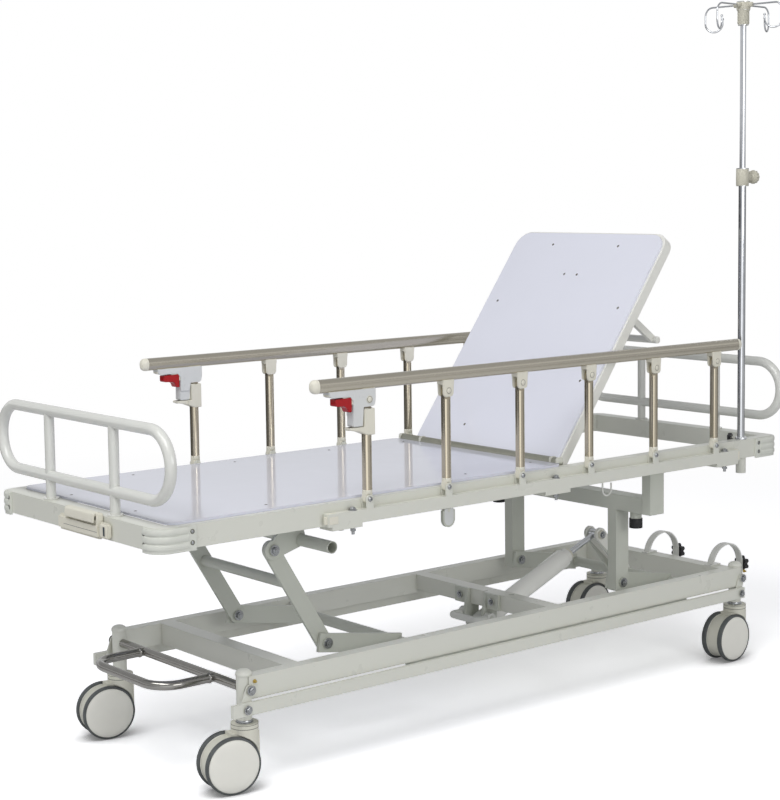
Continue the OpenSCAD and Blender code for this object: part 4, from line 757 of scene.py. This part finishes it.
# corner bumpers: raised ribs and sunk screws
def bumper(name, sx, sy):
    x_end = FRAME_FOOT if sx < 0 else FRAME_HEAD
    corner, proud = 0.032, 0.006

    def path(off, start, stop):
        """Points round the corner, outside the frame; start and stop are lengths along side and end."""
        r = corner + off
        cx, cy = x_end - sx * corner, sy * (FRAME_HALF - corner)
        pts = [(cx - sx * t, cy + sy * r) for t in (start, start * 0.66, start * 0.33)]
        for k in range(9):
            a = math.pi / 2 * k / 8
            pts.append((cx + sx * r * math.sin(a), cy + sy * r * math.cos(a)))
        pts += [(cx + sx * r, cy - sy * t) for t in (stop * 0.5, stop)]
        return pts

    bm = bmesh.new()
    mid = (FRAME_LOW + FRAME_TOP) / 2
    for dz, h in ((0.0155, 0.0062), (0.0, 0.0066), (-0.0155, 0.0062)):
        rows = []
        for off, z in ((-0.0005, -h), (0.0012, -h * 0.9), (0.0020, -h * 0.55), (0.0022, 0),
                       (0.0020, h * 0.55), (0.0012, h * 0.9), (-0.0005, h)):
            rows.append([bm.verts.new((x, y, mid + dz + z)) for x, y in path(proud + off, 0.040, 0.011)])
        skin(bm, rows, False)
        bm.faces.new([r[0] for r in rows])
        bm.faces.new([r[-1] for r in reversed(rows)])
    made("bumper_ribs_" + name, bm, BUMPER, "bed", 40)
    # sunk screws: a thin dark disc of painted shade in each recess with a screw head on it, two on the side
    # and two on the end
    bm = bmesh.new()
    shade_disc = bmesh.new()
    for dz in (0.0115, -0.0115):
        on_side = (x_end - sx * 0.080, sy * (FRAME_HALF + proud), mid + dz)
        on_end = (x_end + sx * proud, sy * (FRAME_HALF - 0.0415), mid + dz)
        for place, out in ((on_side, (0, sy, 0)), (on_end, (sx, 0, 0))):
            at = basis(place, out)
            lathe(shade_disc, at, [(0.0052, -0.0002), (0.0052, 0.0002), (0.0047, 0.0003), (0, 0.0003)], 32)
            lathe(bm, at, [(0.0030, 0.0003), (0.0030, 0.0007), (0.0024, 0.0010), (0.0010, 0.0010),
                           (0.0008, 0.0005), (0, 0.0005)], 24)
    made("bumper_shade_discs_" + name, shade_disc, SEAM_AND_RECESS_SHADE, "bed", 30)
    made("bumper_screws_" + name, bm, ZINC, "bed", 30)


for sx, a in ((-1, "foot"), (1, "head")):
    for b, sy in SIDES:
        bumper(f"{a}_{b}", sx, sy)


# bolts of the lift, the brake and the brackets
def both(name, x, y, z, body, r, h):
    """A bolt on each side with its head outward."""
    for s, side in SIDES:
        bolt(f"{name}_{s}", (x, side * y, z), (0, side, 0), body, r, h)


both("crank_bolt", HEAD_SHAFT, 0.214, SHAFT_Z, "head_crank", 0.0085, 0.005)
both("leg_bolt_low", FOOT_SHAFT, 0.191, SHAFT_Z, "foot_crank", 0.0085, 0.005)
both("leg_bolt_high", LEG_TOP[0], 0.191, LEG_TOP[1], "bed", 0.0085, 0.005)
for s, side in SIDES:
    inward = (0, -side, 0)
    bolt("leg_bolt_inner_" + s, (FOOT_SHAFT, side * 0.1640, SHAFT_Z), inward, "foot_crank", 0.0085, 0.005)
    bolt("crank_bolt_inner_" + s, (HEAD_SHAFT, side * HEAD_PIN_IN, SHAFT_Z), inward,
         "head_crank", 0.0085, 0.005)
for end, x in (("foot", -800), ("head", 800)):
    both(f"brake_bolt_{end}", at_x(x), 0.2865, BRAKE_Z, "brake_" + end, 0.0075, 0.004)
    both(f"link_bolt_{end}", at_x(x - 15), 0.2950, 0.182, "brake_" + end, 0.0068, 0.004)
    for s, side in SIDES:
        bm = bmesh.new()
        lathe(bm, basis((at_x(x + 14), side * 0.2765, 0.236), (0, side, 0)), [
            (0, 0), (0.0042, 0), (0.0042, 0.0025), (0.0022, 0.0030), (0.0022, 0.0075), (0.0014, 0.0085),
            (0, 0.0085)], 24)
        made(f"grease_nipple_{end}_{s}", bm, BRASS, "chassis", 30)
for s, side in SIDES:
    outward = (0, side, 0)
    bolt("bracket_hex_" + s, (at_x(91.5), side * 0.060, 0.228), (-1, 0, 0), "chassis", 0.0065, 0.004)
    bolt("eye_bolt_" + s, (RAM_EYE[0], side * 0.0295, RAM_EYE[1]), outward, "head_crank", 0.0070, 0.004)


# screws in the boards; their places are in millimetres
def board_screw(name, at, body):
    bm = bmesh.new()
    lathe(bm, at, [(0.0036, 0.0), (0.0036, 0.0003), (0.0028, 0.0006), (0.0014, 0.0002), (0.0, 0.0002)], 28)
    made(name, bm, STEEL, body, 30)


SCREW_Z = 0.609
deck_screws = [(-985, -142), (-985, 128), (-742, -270), (-742, 270), (-455, -268), (-455, 268),
               (-169, -262), (-169, 262), (60, -240), (60, 240)]
for k, (x, y) in enumerate(deck_screws):
    board_screw(f"deck_screw_{k + 1}", basis((at_x(x), y * MM, SCREW_Z), (0, 0, 1)), "bed")
slope = Vector((math.cos(BACKREST_ANGLE), 0, math.sin(BACKREST_ANGLE)))
face = Vector((-math.sin(BACKREST_ANGLE), 0, math.cos(BACKREST_ANGLE)))
hinge = Vector((BACKREST[0], 0, BACKREST[1]))
back_screws = [(543, 23), (543, -23), (635, 120), (635, -120), (449, 223), (449, -223),
               (232, 216), (232, -216), (70, 110), (70, -110)]
for k, (s, y) in enumerate(back_screws):
    p = hinge + slope * s * MM + face * BACKREST_FACE
    p.y = y * MM
    board_screw(f"back_screw_{k + 1}", basis(p, face), "backrest")

# hinge tube between the deck and the backrest, with the welded lugs that hold it
TUBE_X, TUBE_Z = BACKREST[0] - 0.0256, 0.6098
TUBE_Y, TUBE_LONG, TUBE_R = -0.2960, 0.5920, 0.0115
bm = bmesh.new()
lathe(bm, basis((TUBE_X, TUBE_Y, TUBE_Z), (0, 1, 0)), [
    (0, 0), (TUBE_R - 0.0009, 0), (TUBE_R, 0.0009), (TUBE_R, TUBE_LONG - 0.0009),
    (TUBE_R - 0.0009, TUBE_LONG), (0, TUBE_LONG)], 48)
made("hinge_tube", bm, HINGE, "bed", 40)
bm = bmesh.new()
for y in (-0.2990, -0.2760, 0.2110, 0.2930):
    slab(bm, (TUBE_X - 0.0150, y, 0.6070), (TUBE_X + 0.0100, y + 0.0060, 0.6228), 0.0028, 3)
made("hinge_lugs", bm, PAINT, "bed", 35)


# drip pole: hub at the top, clamp collar with its knob
def at_pole(z, angle=0.0):
    """A place on the pole's axis, turned about it by an angle."""
    return basis((POLE[0], POLE[1], z), (0, 0, 1)) @ Matrix.Rotation(angle, 4, "Z")


POLE_TOP = FRAME_TOP + 1.134
bm = bmesh.new()
lathe(bm, at_pole(POLE_TOP - 0.0615), [
    (0.0082, 0), (0.0130, 0.0004), (0.0139, 0.003), (0.0140, 0.030), (0.0150, 0.036),
    (0.0176, 0.041), (0.0180, 0.056), (0.0170, 0.0600), (0.0120, 0.0612), (0.0, 0.0614)], 48)
for k in range(4):
    socket = at_pole(POLE_TOP - 0.009, math.radians(6 + 90 * k)) @ Matrix.Rotation(math.pi / 2, 4, "Y")
    lathe(bm, socket, [
        (0.0, 0.012), (0.0072, 0.012), (0.0066, 0.020), (0.0056, 0.0272), (0.0046, 0.0280),
        (0.0, 0.0280)], 28)
    rib = moved(at_pole(POLE_TOP - 0.058, math.radians(51 + 90 * k)), 0.0138, 0, 0)
    lathe(bm, rib, [(0, 0), (0.0016, 0.001), (0.0016, 0.030), (0, 0.031)], 12)
made("pole_hub", bm, FITTING, "pole_upper", 40)

COLLAR_LOW = FRAME_TOP + 0.708 - 0.0465
KNOB_Z = COLLAR_LOW + 0.0235
bm = bmesh.new()
lathe(bm, at_pole(COLLAR_LOW), [
    (0.0098, 0), (0.0152, 0.0004), (0.0163, 0.002), (0.0166, 0.020), (0.0163, 0.0440), (0.0150, 0.0465),
    (0.0084, 0.0470)], 48)
lathe(bm, basis((POLE[0] + 0.012, POLE[1], KNOB_Z), (1, 0, 0)),
      [(0, 0), (0.0096, 0), (0.0096, 0.0125), (0.0088, 0.0145), (0, 0.0146)], 36)
made("pole_collar", bm, FITTING, "pole_lower", 40)


def star(bm, at, count, reach, low, profile, steps):
    """Round lobes of a hand knob, set about its axis."""
    for k in range(count):
        turn = Matrix.Rotation(math.tau * k / count, 4, "Z")
        lathe(bm, moved(at @ turn, reach, 0, low), profile, steps)


bm = bmesh.new()
at = basis((POLE[0] + 0.0275, POLE[1], KNOB_Z), (1, 0, 0))
lathe(bm, at, [
    (0.0045, 0), (0.0085, 0.0003), (0.0085, 0.0050), (0.0100, 0.0070), (0.0150, 0.0085), (0.0166, 0.0110),
    (0.0166, 0.0200), (0.0150, 0.0225), (0.0, 0.0230)], 48)
star(bm, at, 12, 0.0160, 0.0095, [(0, 0), (0.0018, 0.001), (0.0018, 0.0110), (0, 0.012)], 12)
o = made("pole_clamp_knob", bm, FITTING, "pole_knob", 40)
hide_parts("pole_knob")

# black star knob on the socket's screw, and the bright ring of the socket
bm = bmesh.new()
aim = Vector((math.cos(math.radians(110)), math.sin(math.radians(110)), 0))
start = Vector((POLE[0], POLE[1], FRAME_TOP + 0.003))
at = basis(start + aim * 0.0248, aim)
lathe(bm, at, [
    (0, 0), (0.0050, 0), (0.0078, 0.0010), (0.0082, 0.0020), (0.0082, 0.0100), (0.0066, 0.0112),
    (0, 0.0114)], 36)
star(bm, at, 6, 0.0076, -0.0002, [
    (0, 0), (0.0028, 0.0002), (0.0036, 0.0016), (0.0036, 0.0090), (0.0028, 0.0104), (0, 0.0106)], 20)
made("socket_star_knob", bm, BLACK, "bed", 40)
bm = bmesh.new()
lathe(bm, at_pole(FRAME_TOP), [(0.0152, 0.0002), (0.0153, 0.0050), (0.0145, 0.0062), (0.0102, 0.0063)], 48)
made("socket_ring", bm, CHROME, "bed", 50)


# latch on the foot tube: a long moulded body, an end block with a slot, and the flap over it
def foot_slabs(bm, rows, bevel, segments):
    """Blocks against the foot tube; a row is outer and inner place, two side places, bottom and top."""
    for x0, x1, y0, y1, z0, z1 in rows:
        slab(bm, (FRAME_FOOT + x0, y0, z0), (FRAME_FOOT + x1, y1, z1), bevel, segments)


bm = bmesh.new()
foot_slabs(bm, [(-0.0160, 0.0004, -0.1270, 0.0480, 0.5560, 0.5900)], 0.0055, 4)
foot_slabs(bm, [(-0.0140, 0.0004, -0.1565, -0.1250, 0.5600, 0.5920)], 0.0035, 3)
foot_slabs(bm, [(-0.0125, 0.0004, -0.1240, 0.0160, 0.5860, 0.5985)], 0.0030, 3)
foot_slabs(bm, [(-0.0150, 0.0004, y, y + 0.0080, 0.5800, 0.6105) for y in (-0.1225, 0.0065)], 0.0020, 3)
o = made("end_latch_body", bm, CREAM, "bed", 35)
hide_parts("end_latch")
# a thin dark sheet of painted shade over the end block's slot, and a thin dark seam line along the body
bm = bmesh.new()
foot_slabs(bm, [(-0.0143, -0.0130, -0.1495, -0.1420, 0.5660, 0.5860)], 0.0004, 2)
foot_slabs(bm, [(-0.0163, -0.0150, -0.1200, 0.0200, 0.5708, 0.5716)], 0.0002, 1)
made("end_latch_slot", bm, SLOT_SHADE_AND_SEAM, "bed", 35)
bm = bmesh.new()
flap = [(-0.0220, 0.5905), (-0.0175, 0.5900), (-0.0165, 0.6045), (-0.0015, 0.6045), (-0.0010, 0.6110),
        (-0.0200, 0.6108)]
pts = rounded([(FRAME_FOOT + x, z) for x, z in flap], [0.0015, 0.0015, 0.0015, 0.001, 0.003, 0.005])
outline_plate(bm, pts, -0.1138, 0.0058, 0.0012, 3)
o = made("end_latch_flap", bm, CREAM, "end_latch_lever", 35)
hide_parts("end_latch_lever")

# paddle lever: a paler inset face with a half-round end
INSET_X, INSET_Z, INSET_R = at_x(-277), 0.525, 0.0138
bm = bmesh.new()
pts = [(INSET_X + INSET_R, 0.5500), (INSET_X - INSET_R, 0.5500)]
for k in range(17):
    a = math.pi * k / 16
    pts.append((INSET_X - INSET_R * math.cos(a), INSET_Z - INSET_R * math.sin(a)))
outline_plate(bm, pts, -0.3268, -0.3262, 0.0002, 1)
made("paddle_inset", bm, CASING, "paddle_lever", 35)

# weld collars where the pedal loop meets its shaft
for s, side in SIDES:
    bm = bmesh.new()
    lathe(bm, basis((at_x(-812.5), side * 0.144, BRAKE_Z), (-1, 0, 0)),
          [(0.0100, -0.002), (0.0118, 0.0), (0.0121, 0.0020), (0.0112, 0.0042), (0.0103, 0.0050)], 40)
    made("pedal_weld_" + s, bm, STEEL, "brake_foot", 50)

# hydraulic ram: gland nut on the barrel's neck, hexagon bushes at its upper eye
GLAND_AT, BAND_AT = 0.3352, 0.3180
ram_foot = Vector((RAM_FOOT[0], 0, RAM_FOOT[1]))
along = (Vector((RAM_EYE[0], 0, RAM_EYE[1])) - ram_foot).normalized()
bm = bmesh.new()
hexagon(bm, basis(ram_foot + along * GLAND_AT, along), 0.0165, 0.0100, 0.0012)
lathe(bm, basis(ram_foot + along * BAND_AT, along),
      [(0.0200, 0), (0.0206, 0.0006), (0.0206, 0.0040), (0.0200, 0.0046)], 48)
made("ram_gland", bm, CREAM, "ram_barrel", 30)
for s, side in SIDES:
    bm = bmesh.new()
    hexagon(bm, basis((RAM_EYE[0], side * 0.0235, RAM_EYE[1]), (0, side, 0)), 0.0125, 0.0060, 0.0010)
    made("eye_bush_" + s, bm, CREAM, "head_crank", 30)


# floor and backdrop
def studio(t, place):
    """Brightness that shiny surfaces see along the horizon: bright in front and at the left, dark behind."""
    def step(value, a, b, low, high):
        return ramp(t, value, a, b, low, high, "SMOOTHSTEP")

    def toward(x, y):
        """How far the level direction of the place points along (x, y)."""
        return node(t, "ShaderNodeVectorMath", {0: unit, 1: (x, y, 0.0)}, "DOT_PRODUCT").outputs["Value"]

    flat = node(t, "ShaderNodeVectorMath", {0: place, 1: (1.0, 1.0, 0.0)}, "MULTIPLY").outputs[0]
    unit = node(t, "ShaderNodeVectorMath", {0: flat}, "NORMALIZE").outputs[0]
    behind = toward(math.cos(yaw), math.sin(yaw))
    aside = toward(math.sin(yaw), -math.cos(yaw))
    depth = step(behind, -0.35, 0.65, 0.62, 0.16)
    stripe = calc(t, "MULTIPLY", step(aside, -0.88, -0.50, 0.30, 1.15), step(aside, 0.0, 1.0, 1.0, 0.80))
    around = calc(t, "MULTIPLY", depth, stripe)
    return calc(t, "ADD", around, step(behind, -0.985, -0.89, 0.95, 0.0))


FLOOR_R, FADE_FROM, FADE_TO = 9, 2.2, 4.5
FLOOR_LIT, FLOOR_SEEN = (0.76, 0.765, 0.775, 1), (1.66, 1.665, 1.69, 1)
WHITE = (1, 1, 1, 1)


def stage_floor():
    """A white floor with soft shadows that fades into the bright surroundings."""
    me = bpy.data.meshes.new("floor")
    bm = bmesh.new()
    bmesh.ops.create_circle(bm, cap_ends=True, segments=96, radius=FLOOR_R)
    bm.to_mesh(me)
    bm.free()
    o = bpy.data.objects.new("floor", me)
    SCENE.collection.objects.link(o)
    m = bpy.data.materials.new("floor")
    m.use_nodes = True
    t = m.node_tree
    t.nodes.clear()
    ray = t.nodes.new("ShaderNodeLightPath").outputs
    camera, glossy = ray["Is Camera Ray"], ray["Is Glossy Ray"]
    place = t.nodes.new("ShaderNodeTexCoord").outputs["Object"]
    # the floor near the object: brighter for the camera, a painted contact shadow where something stands
    # close, a faint glow
    contact_shadow = ramp(t, openness(t, 0.11, 8), 0.35, 0.90, 0.22, 1.0)
    tint = colour_mix(t, camera, FLOOR_LIT, FLOOR_SEEN)
    shade = node(t, "ShaderNodeVectorMath", {0: tint, "Scale": contact_shadow}, "SCALE").outputs[0]
    matt = node(t, "ShaderNodeBsdfDiffuse", {"Color": shade}).outputs[0]
    seen = calc(t, "MAXIMUM", calc(t, "MAXIMUM", camera, glossy), ray["Is Transmission Ray"])
    glow = number_mix(t, camera, calc(t, "MULTIPLY", seen, 0.12), 0.14)
    lit = node(t, "ShaderNodeEmission", {"Color": WHITE, "Strength": glow}).outputs[0]
    near = node(t, "ShaderNodeAddShader", {0: matt, 1: lit}).outputs[0]
    # the floor far off: white for the camera, the studio's brightness for shiny surfaces
    shine = number_mix(t, glossy, seen, studio(t, place))
    far = node(t, "ShaderNodeEmission", {"Color": WHITE, "Strength": shine}).outputs[0]
    distance = node(t, "ShaderNodeVectorMath", {0: place}, "LENGTH").outputs["Value"]
    fade = ramp(t, distance, FADE_FROM, FADE_TO, 0.0, 1.0)
    whole = node(t, "ShaderNodeMixShader", {0: fade, 1: near, 2: far}).outputs[0]
    node(t, "ShaderNodeOutputMaterial", {0: whole})
    me.materials.append(m)


stage_floor()


def stage_world():
    """White for the camera, a soft light that falls off upward, and what shiny surfaces see."""
    world = bpy.data.worlds.new("studio")
    SCENE.world = world
    world.use_nodes = True
    t = world.node_tree
    t.nodes.clear()
    ray = t.nodes.new("ShaderNodeLightPath").outputs
    sky = t.nodes.new("ShaderNodeTexCoord").outputs["Generated"]
    height = node(t, "ShaderNodeSeparateXYZ", {0: sky}).outputs["Z"]
    climb = ramp(t, height, 0.05, 0.75, 0.56, 0.36, "SMOOTHSTEP")
    soft = node(t, "ShaderNodeBackground", {"Color": (0.99, 0.99, 1.0, 1), "Strength": climb}).outputs[0]
    # shiny surfaces: the studio along the horizon, a bright band above it, an even tone higher up
    high = number_mix(t, ramp(t, height, 0.24, 0.40, 0.0, 1.0), studio(t, sky), 0.52)
    band = calc(t, "MULTIPLY", ramp(t, height, 0.0, 0.03, 0.0, 1.0), ramp(t, height, 0.26, 0.36, 1.0, 0.0))
    level = number_mix(t, band, high, 0.78)
    mirror = node(t, "ShaderNodeBackground", {"Color": (0.98, 0.99, 1.0, 1), "Strength": level}).outputs[0]
    white = node(t, "ShaderNodeBackground", {"Color": WHITE, "Strength": 1.0}).outputs[0]
    lit = node(t, "ShaderNodeMixShader", {0: ray["Is Glossy Ray"], 1: soft, 2: mirror}).outputs[0]
    whole = node(t, "ShaderNodeMixShader", {0: ray["Is Camera Ray"], 1: lit, 2: white}).outputs[0]
    node(t, "ShaderNodeOutputWorld", {0: whole})


stage_world()


def lamp(name, place, aim, size, watts):
    """A rectangular lamp at a place, turned to an aim."""
    d = bpy.data.lights.new(name, "AREA")
    d.shape = "RECTANGLE"
    d.size, d.size_y = size
    d.energy = watts
    o = bpy.data.objects.new(name, d)
    SCENE.collection.objects.link(o)
    o.location = place
    o.rotation_mode = "QUATERNION"
    o.rotation_quaternion = (Vector(aim) - Vector(place)).to_track_quat("-Z", "Y")


lamp("key", (-2.4, -1.6, 3.9), (0, 0, 0.5), (2.0, 2.0), 64)
lamp("side", (-0.4, -4.6, 1.7), (0, 0, 0.5), (2.6, 1.4), 38)
lamp("fill", (-2.9, 0.2, 3.8), (0.4, 0, 0.9), (1.6, 1.4), 28)

SCENE.view_settings.view_transform = "Standard"
